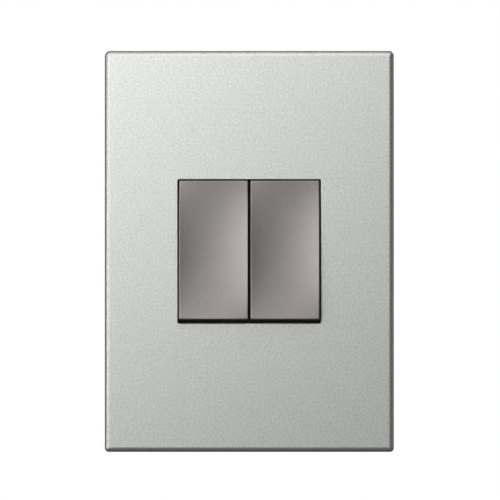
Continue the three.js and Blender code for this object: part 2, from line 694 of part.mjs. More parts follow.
/** A contact rivet along Y, with its contact face at y = 0 and its shank towards +Y. */
function contactRivet() {
  const shankEnd = CONTACT_THICKNESS + LEVER_THICKNESS + 2 * RIVET_CLEARANCE;
  return turned([
    [0, 0],
    [CONTACT_RADIUS - RIVET_EDGE, 0],
    [CONTACT_RADIUS, RIVET_EDGE],
    [CONTACT_RADIUS, CONTACT_THICKNESS],
    [RIVET_RADIUS, CONTACT_THICKNESS],
    [RIVET_RADIUS, shankEnd],
    [RIVET_HEAD_RADIUS, shankEnd],
    [RIVET_HEAD_RADIUS - RIVET_EDGE, shankEnd + RIVET_HEAD],
    [0, shankEnd + RIVET_HEAD],
  ]);
}

// ---------------------------------------------------------------- switch module, moving pieces
// The rocker's pieces are drawn about the pivot axis, and the lever about its fulcrum.

function paddle() {
  const back = -PADDLE_REACH + PADDLE_DEPTH;
  const outline = roundedRectangle(PADDLE_WIDTH, PADDLE_HEIGHT, PADDLE_CORNER);
  const blank = roundedPlateAlongY(outline, -PADDLE_REACH, back, PADDLE_ROLL, 2);
  const hollow = slab(
    span(PADDLE_WIDTH - 2 * PADDLE_WALL),
    [-PADDLE_REACH + PADDLE_FACE, back + 1],
    span(PADDLE_HEIGHT - 2 * PADDLE_WALL),
  );
  return cut(blank, hollow);
}

function paddleCradle() {
  const front = -PADDLE_REACH + PADDLE_FACE + CLEARANCE;
  const back = front + CRADLE_THICKNESS;
  const margin = 2 * (PADDLE_WALL + CLEARANCE);
  const plate = slab(span(PADDLE_WIDTH - margin), [front, back], span(PADDLE_HEIGHT - margin));
  const hub = span(HUB_WIDTH);
  const ribs = [-1, 1].map((side) => slab(
    onSide(side, HUB_WIDTH / 2 - CRADLE_RIB_THICKNESS, HUB_WIDTH / 2),
    [back - OVERLAP, back + CRADLE_RIB_DEPTH],
    span(CRADLE_RIB_LENGTH),
  ));
  const block = slab(hub, [back - OVERLAP, 0], span(2 * HUB_RADIUS));
  const barrel = rodX(HUB_RADIUS, hub, 0, 0);
  const stem = rodY(STEM_RADIUS, [0, STEM_REACH], 0, 0);
  const bore = rodY(STEM_BORE, [STEM_BORE_START, STEM_REACH + 1], 0, 0);
  const pinHole = rodX(PIN_RADIUS + CLEARANCE, span(HUB_WIDTH + 2), 0, 0);
  return cut(join(plate, ...ribs, block, barrel, stem), bore, pinHole);
}

/** The coil between the bottom of the stem's bore and the plunger. */
function plungerSpring() {
  const start = STEM_BORE_START + CLEARANCE + SPRING_WIRE;
  const end = PLUNGER_START - CLEARANCE - SPRING_WIRE;
  class Helix extends THREE.Curve {
    getPoint(t, target = new THREE.Vector3()) {
      const turn = 2 * Math.PI * SPRING_TURNS * t;
      const y = start + (end - start) * t;
      return target.set(SPRING_RADIUS * Math.cos(turn), y, SPRING_RADIUS * Math.sin(turn));
    }
  }
  const section = new THREE.Shape();
  section.absarc(0, 0, SPRING_WIRE, 0, 2 * Math.PI);
  const options = {
    steps: SPRING_TURNS * SPRING_STEPS_PER_TURN,
    extrudePath: new Helix(),
    curveSegments: SPRING_SECTION_SEGMENTS,
  };
  return new THREE.ExtrudeGeometry(section, options);
}

function contactPlunger() {
  const centre = PLUNGER_TIP - PLUNGER_RADIUS;
  const corners = [[0, PLUNGER_START], [PLUNGER_RADIUS, PLUNGER_START]];
  for (let step = 0; step < PLUNGER_NOSE_STEPS; step += 1) {
    const angle = (Math.PI / 2) * (step / PLUNGER_NOSE_STEPS);
    corners.push([PLUNGER_RADIUS * Math.cos(angle), centre + PLUNGER_RADIUS * Math.sin(angle)]);
  }
  corners.push([0, PLUNGER_TIP]);
  return turned(corners);
}

function contactLever() {
  const back = -CLEARANCE;
  const front = back - LEVER_THICKNESS;
  const plate = slab(span(LEVER_WIDTH), [front, back], [-LEVER_LOWER_REACH, LEVER_UPPER_REACH]);
  const ears = [-1, 1].map((side) => slab(
    onSide(side, LEVER_WIDTH / 2 - LEVER_EAR, LEVER_WIDTH / 2),
    [front, LEVER_EAR_REACH],
    span(LEVER_EAR_LENGTH),
  ));
  const rivetHole = rodY(RIVET_RADIUS + CLEARANCE, [front - 1, back + 1], 0, CONTACT_Z);
  return cut(join(plate, ...ears), rivetHole);
}

// ---------------------------------------------------------------- materials

function finish(color, roughness, metalness) {
  return { color, roughness, metalness };
}

const FINISHES = {
  plate: finish(0xc4c8c2, 0.45, 0.6),
  paddle: finish(0x8e8a87, 0.35, 0.6),
  carrier: finish(0x2b2c2e, 0.6, 0),
  steel: finish(0xb4b6b8, 0.35, 1),
  screw: finish(0xc2c1bb, 0.3, 1),
  fibre: finish(0x8a4a2c, 0.8, 0),
  green: finish(0x2e6b3c, 0.4, 0.7),
  bezel: finish(0x26272a, 0.5, 0),
  housing: finish(0x3a3b3f, 0.55, 0),
  cradle: finish(0xd9d9d4, 0.5, 0),
  plunger: finish(0xeeeade, 0.4, 0),
  brass: finish(0xb9975a, 0.35, 1),
  silver: finish(0xd6d6d4, 0.25, 1),
};

function meshOf(name, geometry, finishName) {
  const mesh = new THREE.Mesh(weld(geometry), new THREE.MeshStandardMaterial(FINISHES[finishName]));
  mesh.name = name;
  return mesh;
}

function at(mesh, x, y, z) {
  mesh.position.set(x, y, z);
  return mesh;
}

// ---------------------------------------------------------------- assembly

/** A terminal screw and its clamp at one end of a housing; side is +1 at the top end. */
function terminalHardware(prefix, name, side) {
  const end = new THREE.Group();
  const clampZ = TAB_Z + TAB_THICKNESS + CLEARANCE;
  const screwZ = clampZ + CLAMP_THICKNESS + CLEARANCE;
  const turn = side * Math.PI / 2;
  const clamp = meshOf(`${prefix}_${name}_clamp`, clampPlate(CLAMP_WIDTH, CLAMP_HEIGHT), 'steel');
  clamp.rotation.x = turn;
  const screw = meshOf(`${prefix}_${name}_screw`, slottedScrew(TERMINAL_SCREW), 'brass');
  screw.rotation.x = -turn;
  end.add(at(clamp, 0, TERMINAL_SCREW_Y, side * clampZ));
  end.add(at(screw, 0, TERMINAL_SCREW_Y, side * screwZ));
  return end;
}

function rockerPieces(prefix) {
  const rocker = new THREE.Group();
  rocker.position.y = PIVOT_Y;
  rocker.rotation.x = -ROCKER_TILT;
  rocker.add(meshOf(`${prefix}_paddle`, paddle(), 'paddle'));
  rocker.add(meshOf(`${prefix}_paddle_cradle`, paddleCradle(), 'cradle'));
  rocker.add(meshOf(`${prefix}_plunger_spring`, plungerSpring(), 'steel'));
  rocker.add(meshOf(`${prefix}_contact_plunger`, contactPlunger(), 'plunger'));
  return rocker;
}

function leverPieces(prefix) {
  const lever = new THREE.Group();
  lever.position.y = FULCRUM_Y;
  lever.rotation.x = LEVER_TILT;
  const contact = meshOf(`${prefix}_moving_contact`, contactRivet(), 'silver');
  contact.rotation.x = Math.PI;
  lever.add(meshOf(`${prefix}_contact_lever`, contactLever(), 'brass'));
  lever.add(at(contact, 0, MOVING_FACE, CONTACT_Z));
  return lever;
}

function switchModule(prefix, x) {
  const module = new THREE.Group();
  module.position.x = x;
  module.add(meshOf(`${prefix}_switch_bezel`, switchBezel(), 'bezel'));
  module.add(meshOf(`${prefix}_switch_housing`, switchHousing(), 'housing'));
  module.add(meshOf(`${prefix}_pivot_pin`, pivotPin(), 'steel'));
  module.add(meshOf(`${prefix}_common_terminal`, commonTerminal(), 'brass'));
  module.add(meshOf(`${prefix}_load_terminal`, loadTerminal(), 'brass'));
  const fixedContact = meshOf(`${prefix}_fixed_contact`, contactRivet(), 'silver');
  module.add(at(fixedContact, 0, FIXED_FACE_Y, CONTACT_Z));
  module.add(terminalHardware(prefix, 'common', 1));
  module.add(terminalHardware(prefix, 'load', -1));
  module.add(rockerPieces(prefix));
  module.add(leverPieces(prefix));
  return module;
}

function strapHardware() {
  const hardware = new THREE.Group();
  hardware.add(meshOf('mounting_strap', mountingStrap(), 'steel'));
  for (const [name, side] of [['top', 1], ['bottom', -1]]) {
    const z = side * BOX_SCREW_SPACING / 2;
    const screw = meshOf(`box_screw_${name}`, slottedScrew(BOX_SCREW), 'screw');
    hardware.add(at(screw, 0, STRAP_FRONT_Y - CLEARANCE, z));
    hardware.add(at(meshOf(`screw_retainer_${name}`, screwRetainer(), 'fibre'), 0, 0, z));
  }
  const clamp = meshOf('ground_clamp', clampPlate(GROUND_CLAMP_SIZE, GROUND_CLAMP_SIZE), 'steel');
  hardware.add(at(clamp, 0, BEHIND_STRAP_Y, GROUND_Z));
  const screw = meshOf('ground_screw', groundScrew(), 'green');
  screw.rotation.x = Math.PI;
  hardware.add(at(screw, 0, BEHIND_STRAP_Y + CLAMP_THICKNESS + CLEARANCE, GROUND_Z));
  return hardware;
}

const wallSwitch = new THREE.Group();
wallSwitch.add(meshOf('wall_plate', wallPlate(), 'plate'));
wallSwitch.add(meshOf('plate_carrier', plateCarrier(), 'carrier'));
wallSwitch.add(strapHardware());
wallSwitch.add(switchModule('left', -MODULE_PITCH / 2));
wallSwitch.add(switchModule('right', MODULE_PITCH / 2));

export default wallSwitch;
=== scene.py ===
"""Double rocker wall switch: the visual model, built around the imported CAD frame.

Shapes are drawn in millimetres, in the frame's axes (X right, Y into the wall, Z up), and
scaled to metres when they become Blender meshes.
"""
import json
import math

import bmesh
import bpy
from mathutils import Matrix, Vector

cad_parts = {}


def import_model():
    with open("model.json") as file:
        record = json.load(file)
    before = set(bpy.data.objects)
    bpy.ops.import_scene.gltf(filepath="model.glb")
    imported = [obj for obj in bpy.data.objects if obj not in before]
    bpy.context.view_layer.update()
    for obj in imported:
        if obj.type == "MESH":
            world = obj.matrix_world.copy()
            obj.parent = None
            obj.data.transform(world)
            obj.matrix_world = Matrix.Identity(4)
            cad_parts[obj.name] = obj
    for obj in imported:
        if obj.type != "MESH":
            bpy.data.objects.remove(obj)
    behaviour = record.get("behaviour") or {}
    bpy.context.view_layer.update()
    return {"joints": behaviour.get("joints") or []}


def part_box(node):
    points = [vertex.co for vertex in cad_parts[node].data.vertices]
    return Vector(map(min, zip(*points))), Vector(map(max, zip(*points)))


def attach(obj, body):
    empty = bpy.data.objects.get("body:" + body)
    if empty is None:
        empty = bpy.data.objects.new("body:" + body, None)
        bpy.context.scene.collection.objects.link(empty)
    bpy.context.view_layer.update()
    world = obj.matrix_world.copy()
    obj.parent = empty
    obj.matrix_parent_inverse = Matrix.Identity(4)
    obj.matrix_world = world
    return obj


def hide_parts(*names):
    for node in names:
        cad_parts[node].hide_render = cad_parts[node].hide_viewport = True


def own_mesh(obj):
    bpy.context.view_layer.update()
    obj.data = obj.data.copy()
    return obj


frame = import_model()
JOINTS = {joint["name"]: joint for joint in frame["joints"]}

MM = 0.001
OVERLAP = 0.4  # how far joined shapes run into each other
ROUND = 56  # sides of a full turn
SIDES = (-1, 1)
EDGE_ANGLE = math.radians(32)  # an edge that turns further than this is rounded
MERGE_GAP = 1e-4  # corners of a shape that lie closer are one, in millimetres
WELD_GAP = 2e-6  # the same once its edges are rounded, in metres


def node_box(name):
    """A CAD node's lowest and highest corner, in millimetres."""
    low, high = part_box(name)
    return low / MM, high / MM


def joint_place(name):
    """The point a joint turns about, in millimetres."""
    return Vector(JOINTS[name]["pos_m"]) / MM


# ------ driving dimensions
PLATE_LOW, PLATE_HIGH = node_box("wall_plate")
PLATE_HALF_X, PLATE_HALF_Z = PLATE_HIGH.x, PLATE_HIGH.z
PLATE_FRONT = PLATE_LOW.y
PLATE_SKIN, PLATE_WALL, PLATE_CORNER, PLATE_ROLL = 1.8, 2.0, 1.3, 1.7
OPENING_HALF_X, OPENING_HALF_Z, OPENING_CORNER = 23.2, 23.33, 0.5
COLLAR_WALL = 1.3
COLLAR_END = PLATE_FRONT + 3.6
SKIN_BACK = PLATE_FRONT + PLATE_SKIN
INSIDE_X = PLATE_HALF_X - PLATE_WALL
INSIDE_Z = PLATE_HALF_Z - PLATE_WALL
GUSSET_XS = (-28.5, -9.5, 9.5, 28.5)
GUSSET_ZS = (-59.85, -42.75, -25.65, 25.65, 42.75, 59.85)

CARRIER_LOW, CARRIER_HIGH = node_box("plate_carrier")
CARRIER_FRONT = CARRIER_LOW.y
CARRIER_BACK = CARRIER_FRONT + 1.8
CARRIER_HALF_X, CARRIER_HALF_Z = CARRIER_HIGH.x, CARRIER_HIGH.z
LEG_X, LEG_Z, LEG_WIDTH, LEG_THICKNESS = 17.0, 31.0, 8.0, 1.6

STRAP_LOW, STRAP_HIGH = node_box("mounting_strap")
STRAP_BACK = STRAP_HIGH.y - 0.3
STRAP_THICKNESS = 0.9
STRAP_FRONT = STRAP_BACK - STRAP_THICKNESS
STRAP_HALF_X, STRAP_HALF_Z = 35, 38
EAR_HALF_X, EAR_HALF_Z = 22, 54
SCREW_HOLE = 2.2  # radius, in the strap and in each terminal plate
BOX_SCREW_Z, GROUND_Z = (sum(node_box(name), Vector()).z / 2
                         for name in ("box_screw_top", "ground_screw"))

PIVOT_Y = joint_place("left_rocker_pivot").y
FULCRUM_Y = joint_place("left_lever_pivot").y
ROCKER_TILT = math.radians(JOINTS["left_rocker_pivot"]["range_deg"][1] / 2)
LEVER_TILT = -math.radians(JOINTS["left_lever_pivot"]["range_deg"][0] / 2)
MODULES = {side: joint_place(f"{side}_rocker_pivot").x for side in ("left", "right")}

PADDLE_HALF_X, PADDLE_HALF_Z = 11.25, 22.5
PADDLE_FOOT = 0.2  # how much further the skirt's lower end reaches
PADDLE_REACH, PADDLE_DEPTH = 7.85, 6.4
PADDLE_FACE, PADDLE_WALL, PADDLE_ROLL = 1.4, 1.2, 0.34
DISH_DEPTH, DISH_SAG = 0.71, 0.18
SPRING_SEAT, PLUNGER_TOP = 2.9, 9.3  # along the stem, from the pivot


# ------ mesh helpers
def span(width, centre=0.0):
    return (centre - width / 2, centre + width / 2)


def on_side(side, low, high):
    """The range as it is or, for the minus side, mirrored."""
    return (low, high) if side > 0 else (-high, -low)


def add_object(name, data):
    made = bpy.data.objects.new(name, data)
    bpy.context.scene.collection.objects.link(made)
    return made


def as_object(bm, name="shape"):
    mesh = bpy.data.meshes.new(name)
    bmesh.ops.recalc_face_normals(bm, faces=bm.faces)
    bm.to_mesh(mesh)
    bm.free()
    return add_object(name, mesh)


def slab(xs, ys, zs):
    bm = bmesh.new()
    centre = Vector((sum(xs), sum(ys), sum(zs))) / 2
    size = Matrix.Diagonal((xs[1] - xs[0], ys[1] - ys[0], zs[1] - zs[0], 1))
    bmesh.ops.create_cube(bm, size=1, matrix=Matrix.Translation(centre) @ size)
    return as_object(bm)


def skin(bm, rings):
    """Faces from each ring of points to the next; a ring may be a single point."""
    sides = max(len(ring) for ring in rings)
    for low, high in zip(rings, rings[1:]):
        for i in range(sides):
            j = (i + 1) % sides
            corners = [low[i % len(low)], low[j % len(low)],
                       high[j % len(high)], high[i % len(high)]]
            bm.faces.new(list(dict.fromkeys(corners)))


def loft(loops, cyclic=False):
    """A closed skin over loops of points; open ends are capped unless it is cyclic."""
    bm = bmesh.new()
    rings = [[bm.verts.new(point) for point in loop] for loop in loops]
    skin(bm, rings + rings[:1] if cyclic else rings)
    for end in (rings[0], rings[-1]):
        if len(end) > 1 and not cyclic:
            bm.faces.new(end)
    return as_object(bm)


AXES = {
    "x": lambda a, b, along: (along, a, b),
    "y": lambda a, b, along: (a, along, b),
    "z": lambda a, b, along: (a, b, along),
}


def prism(outline, along, axis):
    """Extrudes an outline: [y, z] along x, [x, z] along y or [x, y] along z."""
    place = AXES[axis]
    return loft([[place(a, b, end) for a, b in outline] for end in along])


def circle(radius, a=0.0, b=0.0, sides=ROUND):
    step = 2 * math.pi / sides
    return [(a + radius * math.cos(i * step), b + radius * math.sin(i * step))
            for i in range(sides)]


def rod(axis, radius, along, a=0.0, b=0.0, end_radius=None):
    """A round bar, or a cone when the end radius differs."""
    place = AXES[axis]
    radii = (radius, end_radius or radius)
    return loft([[place(p, q, end) for p, q in circle(size, a, b)]
                 for end, size in zip(along, radii)])


def rounded(half_x, half_z, radius, x=0.0, z=0.0, steps=8):
    """The outline of a rounded rectangle."""
    points = []
    for corner, (sx, sz) in enumerate(((1, 1), (-1, 1), (-1, -1), (1, -1))):
        for step in range(steps + 1):
            angle = math.pi / 2 * (corner + step / steps)
            points.append((x + sx * (half_x - radius) + radius * math.cos(angle),
                           z + sz * (half_z - radius) + radius * math.sin(angle)))
    return points


def turn(shape, angle, axis, place=(0, 0, 0)):
    """Turns a shape about an axis of the frame, then moves it."""
    shape.data.transform(Matrix.Translation(place) @ Matrix.Rotation(angle, 4, axis))
    return shape


def plate_y(half_x, half_z, radius, ys, x=0.0, z=0.0):
    """A flat plate with rounded corners that lies across Y."""
    return prism(rounded(half_x, half_z, radius, x, z), ys, "y")


def turned(profile, sides=ROUND):
    """Loops about Y through [radius, y] corners; a corner on the axis is a single point."""
    return [[(a, y, b) for a, b in circle(radius, sides=sides)] if radius else [(0, y, 0)]
            for radius, y in profile]


def lathe(profile):
    """A solid of revolution about Y, whose profile starts and ends on the axis."""
    return loft(turned(profile))


def modify(shape, kind, **settings):
    """Adds a modifier of that kind, with these settings."""
    modifier = shape.modifiers.new(kind.lower(), kind)
    for name, value in settings.items():
        setattr(modifier, name, value)


def boolean(target, tools, operation):
    """Joins the tools to the target, or cuts them from it, and removes them."""
    holder = bpy.data.collections.new("tools")
    for tool in tools:
        holder.objects.link(tool)
    modify(target, "BOOLEAN", operation=operation, operand_type="COLLECTION",
           collection=holder, solver="MANIFOLD")
    shaped = bpy.data.meshes.new_from_object(
        target.evaluated_get(bpy.context.evaluated_depsgraph_get()))
    target.modifiers.clear()
    spare, target.data = target.data, shaped
    bpy.data.meshes.remove(spare)
    for tool in tools:
        bpy.data.objects.remove(tool)
    bpy.data.collections.remove(holder)
    return target


def join(first, *others):
    return boolean(first, others, "UNION")


def cut(first, *tools):
    return boolean(first, tools, "DIFFERENCE")


def within(point, box):
    low, high = box
    return all(low[i] <= point[i] <= high[i] for i in range(3))


def tidy(shape, crisp=None):
    """Merges doubled corners, splits big faces and marks the edges to round, none in crisp."""
    bm = bmesh.new()
    bm.from_mesh(shape.data)
    bmesh.ops.remove_doubles(bm, verts=bm.verts, dist=MERGE_GAP)
    bmesh.ops.dissolve_degenerate(bm, edges=bm.edges, dist=MERGE_GAP)
    bmesh.ops.triangulate(bm, faces=[face for face in bm.faces if len(face.verts) > 4])
    bmesh.ops.recalc_face_normals(bm, faces=bm.faces)
    rounding = bm.edges.layers.float.new("bevel_weight_edge")
    for edge in bm.edges:
        fine = crisp and all(within(vert.co, crisp) for vert in edge.verts)
        edge[rounding] = float(edge.calc_face_angle(0) > EDGE_ANGLE and not fine)
    bm.to_mesh(shape.data)
    bm.free()


def piece(shape, node, slot, body="base", edge=0, offset=(0, 0, 0), turn_x=0.0,
          smooth_angle=35, crisp=None):
    """Makes a shape in millimetres the piece, in metres, that stands for a CAD node.

    Its edges are rounded by the width "edge", apart from those inside the crisp box.
    """
    tidy(shape, crisp)
    mesh = shape.data
    shape.name = mesh.name = f"{node}_visual"
    mesh.transform(Matrix.Scale(MM, 4))
    shape.location = Vector(offset) * MM
    shape.rotation_euler.x = turn_x
    mesh.materials.clear()
    mesh.materials.append(FINISHES[slot])
    mesh.shade_smooth()
    mesh.set_sharp_from_angle(angle=math.radians(smooth_angle))
    if edge:
        modify(shape, "BEVEL", width=edge * MM, segments=2, limit_method="WEIGHT",
               use_clamp_overlap=False, loop_slide=False, miter_outer="MITER_ARC",
               face_strength_mode="FSTR_ALL")
    modify(shape, "WELD", merge_threshold=WELD_GAP)
    modify(shape, "WEIGHTED_NORMAL", keep_sharp=True, use_face_influence=bool(edge))
    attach(shape, body)
    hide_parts(node)


# ------ materials
def shade(colour, factor):
    return tuple(channel * factor for channel in colour) + (1,)


class Finish:
    """A procedural material on one Principled shader, in object coordinates (metres).

    The overlay is a noise, its ramp, and the second colour that shows where it is high.
    """

    def __init__(self, name, tint, rough=None, reliefs=(), overlay=None, **sockets):
        self.material = bpy.data.materials.new(f"{name}_finish")
        self.material.use_nodes = True
        self.tree = self.material.node_tree
        self.place = self.add("ShaderNodeTexCoord").outputs["Object"]
        colour = self.tint(*tint)
        if overlay:
            noise, ramp, second = overlay
            colour = self.mix(self.ramp(self.noise(*noise), *ramp), colour, second)
        if rough:
            sockets["Roughness"] = self.rough(*rough)
        for layer in reliefs:
            sockets["Normal"] = self.relief(sockets.get("Normal"), *layer)
        self.feed(self.tree.nodes["Principled BSDF"], Base_Color=colour, **sockets)

    def feed(self, node, **values):
        """Sets or links each named input; an underscore stands for a space."""
        for name, value in values.items():
            socket = node.inputs[name.replace("_", " ")]
            if isinstance(value, bpy.types.NodeSocket):
                self.tree.links.new(value, socket)
            else:
                socket.default_value = value
        return node

    def add(self, kind, **inputs):
        return self.feed(self.tree.nodes.new(kind), **inputs)

    def noise(self, scale, detail=3.0, stretch=(1, 1, 1)):
        """Noise of about 1/scale metres a blob, drawn out along an axis by a small stretch."""
        placed = self.add("ShaderNodeMapping", Vector=self.place, Scale=stretch)
        return self.add("ShaderNodeTexNoise", Vector=placed.outputs[0], Scale=scale,
                        Detail=detail, Roughness=0.55).outputs["Fac"]

    def ramp(self, value, low, high, start=0.35, end=0.65):
        return self.add("ShaderNodeMapRange", Value=value, From_Min=start, From_Max=end,
                        To_Min=low, To_Max=high).outputs["Result"]

    def mix(self, fac, first, second):
        node = self.tree.nodes.new("ShaderNodeMix")
        node.data_type = "RGBA"
        return self.feed(node, Factor=fac, A=first, B=second).outputs["Result"]

    def tint(self, base, spread, patches, grain=None, grain_spread=0.0, stretch=(1, 1, 1)):
        """The base colour with soft patches, and a fine grain over them."""
        def vary(fac, width):
            return self.mix(fac, shade(base, 1 - width), shade(base, 1 + width))

        colour = vary(self.ramp(self.noise(patches), 0, 1), spread)
        if grain:
            speck = self.ramp(self.noise(grain, 2, stretch), 0, 1, 0.3, 0.7)
            colour = self.mix(0.5, colour, vary(speck, grain_spread))
        return colour

    def rough(self, low, high, scale, stretch=(1, 1, 1)):
        return self.ramp(self.noise(scale, stretch=stretch), low, high, 0.3, 0.7)

    def relief(self, below, scale, depth_mm, stretch=(1, 1, 1)):
        """Relief of about that depth, over any below it."""
        node = self.add("ShaderNodeBump", Height=self.noise(scale, 2.0, stretch),
                        Distance=depth_mm * MM, Strength=1.0)
        return self.feed(node, **({"Normal": below} if below else {})).outputs["Normal"]


LOOKS = {
    # the cover plate's fine-grained metallic lacquer
    "satin_silver": dict(
        Metallic=0.72, Coat_Weight=0.06, Coat_Roughness=0.3,
        tint=((0.638, 0.657, 0.62), 0.024, 240, 1500, 0.27),
        rough=(0.4, 0.46, 1400), reliefs=((2300, 0.01), (260, 0.004))),
    # the paddles' smoother, darker lacquer
    "warm_grey_metallic": dict(
        Metallic=0.82, Coat_Weight=0.08, Coat_Roughness=0.25,
        tint=((0.202, 0.189, 0.18), 0.03, 200, 1300, 0.09),
        rough=(0.34, 0.38, 2200), reliefs=((3000, 0.004),)),
    "black_plastic": dict(
        tint=((0.036, 0.037, 0.038), 0.15, 120, 1500, 0.25),
        rough=(0.42, 0.62, 500), reliefs=((1600, 0.015), (180, 0.01))),
    # a filled moulding compound: dull, with pale flecks and flow marks
    "grey_thermoset": dict(
        tint=((0.075, 0.078, 0.086), 0.14, 150, 900, 0.2),
        overlay=((2600, 1), (0, 0.35, 0.66, 0.74), (0.3, 0.3, 0.31, 1)),
        rough=(0.5, 0.72, 700), reliefs=((1300, 0.012), (120, 0.012, (1, 1, 0.2)))),
    "ivory_nylon": dict(
        Subsurface_Weight=0.08, Subsurface_Scale=0.001,
        tint=((0.7, 0.68, 0.61), 0.05, 140, 1200, 0.05),
        rough=(0.34, 0.5, 600), reliefs=((700, 0.01),)),
    # rolled strip with a bright zinc plating, faintly yellow in cloudy patches
    "zinc_steel": dict(
        Metallic=1.0,
        tint=((0.57, 0.585, 0.6), 0.07, 85, 1500, 0.05, (1, 1, 0.08)),
        overlay=((42, 4), (0, 0.5, 0.48, 0.72), (0.62, 0.6, 0.52, 1)),
        rough=(0.26, 0.44, 240, (1, 1, 0.25)),
        reliefs=((1500, 0.006, (1, 1, 0.06)), (320, 0.006))),
    "screw_steel": dict(
        Metallic=1.0, tint=((0.66, 0.645, 0.6), 0.08, 260, 2600, 0.06),
        rough=(0.18, 0.36, 900), reliefs=((1500, 0.006),)),
    # green passivation over steel, thin enough for the metal to shine through
    "green_screw": dict(
        Metallic=0.85, tint=((0.035, 0.2, 0.075), 0.25, 330, 2400, 0.12),
        overlay=((620, 4), (0, 0.45, 0.56, 0.74), (0.22, 0.42, 0.26, 1)),
        rough=(0.28, 0.46, 900), reliefs=((1500, 0.008),)),
    # stamped brass with rolling lines and slightly darker stains
    "brass": dict(
        Metallic=1.0,
        tint=((0.78, 0.56, 0.24), 0.07, 190, 2000, 0.06, (1, 0.1, 1)),
        overlay=((300, 5), (0, 0.28, 0.55, 0.8), (0.52, 0.33, 0.13, 1)),
        rough=(0.2, 0.38, 700, (1, 0.2, 1)), reliefs=((1800, 0.005, (1, 0.08, 1)),)),
    "contact_silver": dict(
        Metallic=1.0, tint=((0.86, 0.855, 0.83), 0.06, 800, 3200, 0.06),
        rough=(0.14, 0.32, 1800), reliefs=((2400, 0.004),)),
    # pressed fibre board: matt red-brown, with short fibres along X
    "vulcanised_fibre": dict(
        tint=((0.3, 0.085, 0.04), 0.14, 300, 1900, 0.2, (0.2, 1, 1)),
        overlay=((2800, 2, (0.12, 1, 1)), (0, 0.4, 0.58, 0.72), (0.48, 0.2, 0.1, 1)),
        rough=(0.7, 0.9, 900), reliefs=((2300, 0.02, (0.15, 1, 1)),)),
}
FINISHES = {name: Finish(name, **look).material for name, look in LOOKS.items()}


# ------ cover plate
def quarter(steps):
    """(sine, cosine) from 0 to a right angle."""
    return [(math.sin(math.pi / 2 * i / steps), math.cos(math.pi / 2 * i / steps))
            for i in range(steps + 1)]


def half_turn(radius, steps, y=0.0, way=1):
    """[y, z] points from -radius to +radius in Z, round by y + radius (or, way -1, y - radius)."""
    return ([(y + way * radius * sine, -radius * cosine) for sine, cosine in quarter(steps)]
            + [(y + way * radius * cosine, radius * sine)
               for sine, cosine in quarter(steps)[1:]])


def plate_shell():
    """Loops from the opening's lip over the face, rolled edge and wall, and back inside."""
    lip, fillet = 0.25, 0.6
    opening, outside = (OPENING_HALF_X, OPENING_HALF_Z), (PLATE_HALF_X, PLATE_HALF_Z)
    inside = (INSIDE_X, INSIDE_Z)
    collar = (OPENING_HALF_X + COLLAR_WALL, OPENING_HALF_Z + COLLAR_WALL)
    loops = []

    def ring(half, grow, radius, y):
        outline = rounded(half[0] + grow, half[1] + grow, radius)
        loops.append([(x, y, z) for x, z in outline])

    for sine, cosine in quarter(5):
        out = lip * (1 - cosine)
        ring(opening, out, OPENING_CORNER + out, PLATE_FRONT + lip * (1 - sine))
    for sine, cosine in quarter(12):
        inset = PLATE_ROLL * (1 - sine)
        ring(outside, -inset, max(PLATE_CORNER - inset, 0.15),
             PLATE_FRONT + PLATE_ROLL * (1 - cosine))
    ring(outside, 0, PLATE_CORNER, 0)
    ring(inside, 0, fillet, 0)
    for sine, cosine in quarter(4):
        ring(inside, -fillet * (1 - cosine), fillet, SKIN_BACK + fillet * (1 - sine))
    for sine, cosine in quarter(4):
        out = fillet * (1 - sine)
        ring(collar, out, 1 + out, SKIN_BACK + fillet * (1 - cosine))
    ring(collar, 0, 1, COLLAR_END)
    ring(opening, 0, OPENING_CORNER, COLLAR_END)
    return loft(loops, cyclic=True)


def plate_ribs():
    """Tapered gussets along the walls, and catches for the carrier."""
    reach, taper, back, thickness = 3.4, 1.1, -1.3, 1.2
    catch_width, catch_grip = 7, 1.5
    front = SKIN_BACK - OVERLAP
    catch = (CARRIER_BACK + 0.3, CARRIER_BACK + 1.0, CARRIER_BACK + 1.5)
    ribs = []
    for side in SIDES:
        for inside, carrier_edge, axis, places, catch_at in (
            (INSIDE_X, CARRIER_HALF_X, "z", GUSSET_ZS, 30),
            (INSIDE_Z, CARRIER_HALF_Z, "x", GUSSET_XS, 20),
        ):
            root, grip = inside + OVERLAP, carrier_edge - catch_grip
            gusset = [(root, front), (inside - reach, front), (inside - reach + taper, back),
                      (root, back)]
            hook = [(root, catch[0]), (grip, catch[0]), (grip, catch[1]),
                    (grip + taper, catch[2]), (root, catch[2])]
            shapes = [(gusset, span(thickness, place)) for place in places]
            shapes += [(hook, span(catch_width, catch_at * other)) for other in SIDES]
            for corners, ends in shapes:
                corners = [(side * out, y) for out, y in corners]
                if axis == "x":
                    corners = [(y, z) for z, y in corners]
                ribs.append(prism(corners, ends, axis))
    return ribs


def cover_plate():
    shell = join(plate_shell(), *plate_ribs())
    piece(shell, "wall_plate", "satin_silver", edge=0.1, smooth_angle=40)


# ------ carrier and strap
def snap_leg(side_x, side_z):
    inner, outer = span(LEG_THICKNESS, LEG_Z)
    front, end = CARRIER_BACK - OVERLAP, CARRIER_HIGH.y
    corners = [(front, inner - 0.9), (CARRIER_BACK + 0.7, inner), (end, inner),
               (end, outer - LEG_THICKNESS / 3), (0.35, outer + 1), (0, outer + 1), (0, outer),
               (CARRIER_BACK + 0.5, outer), (front, outer + 0.5)]
    return prism([(y, side_z * z) for y, z in corners], span(LEG_WIDTH, side_x * LEG_X), "x")


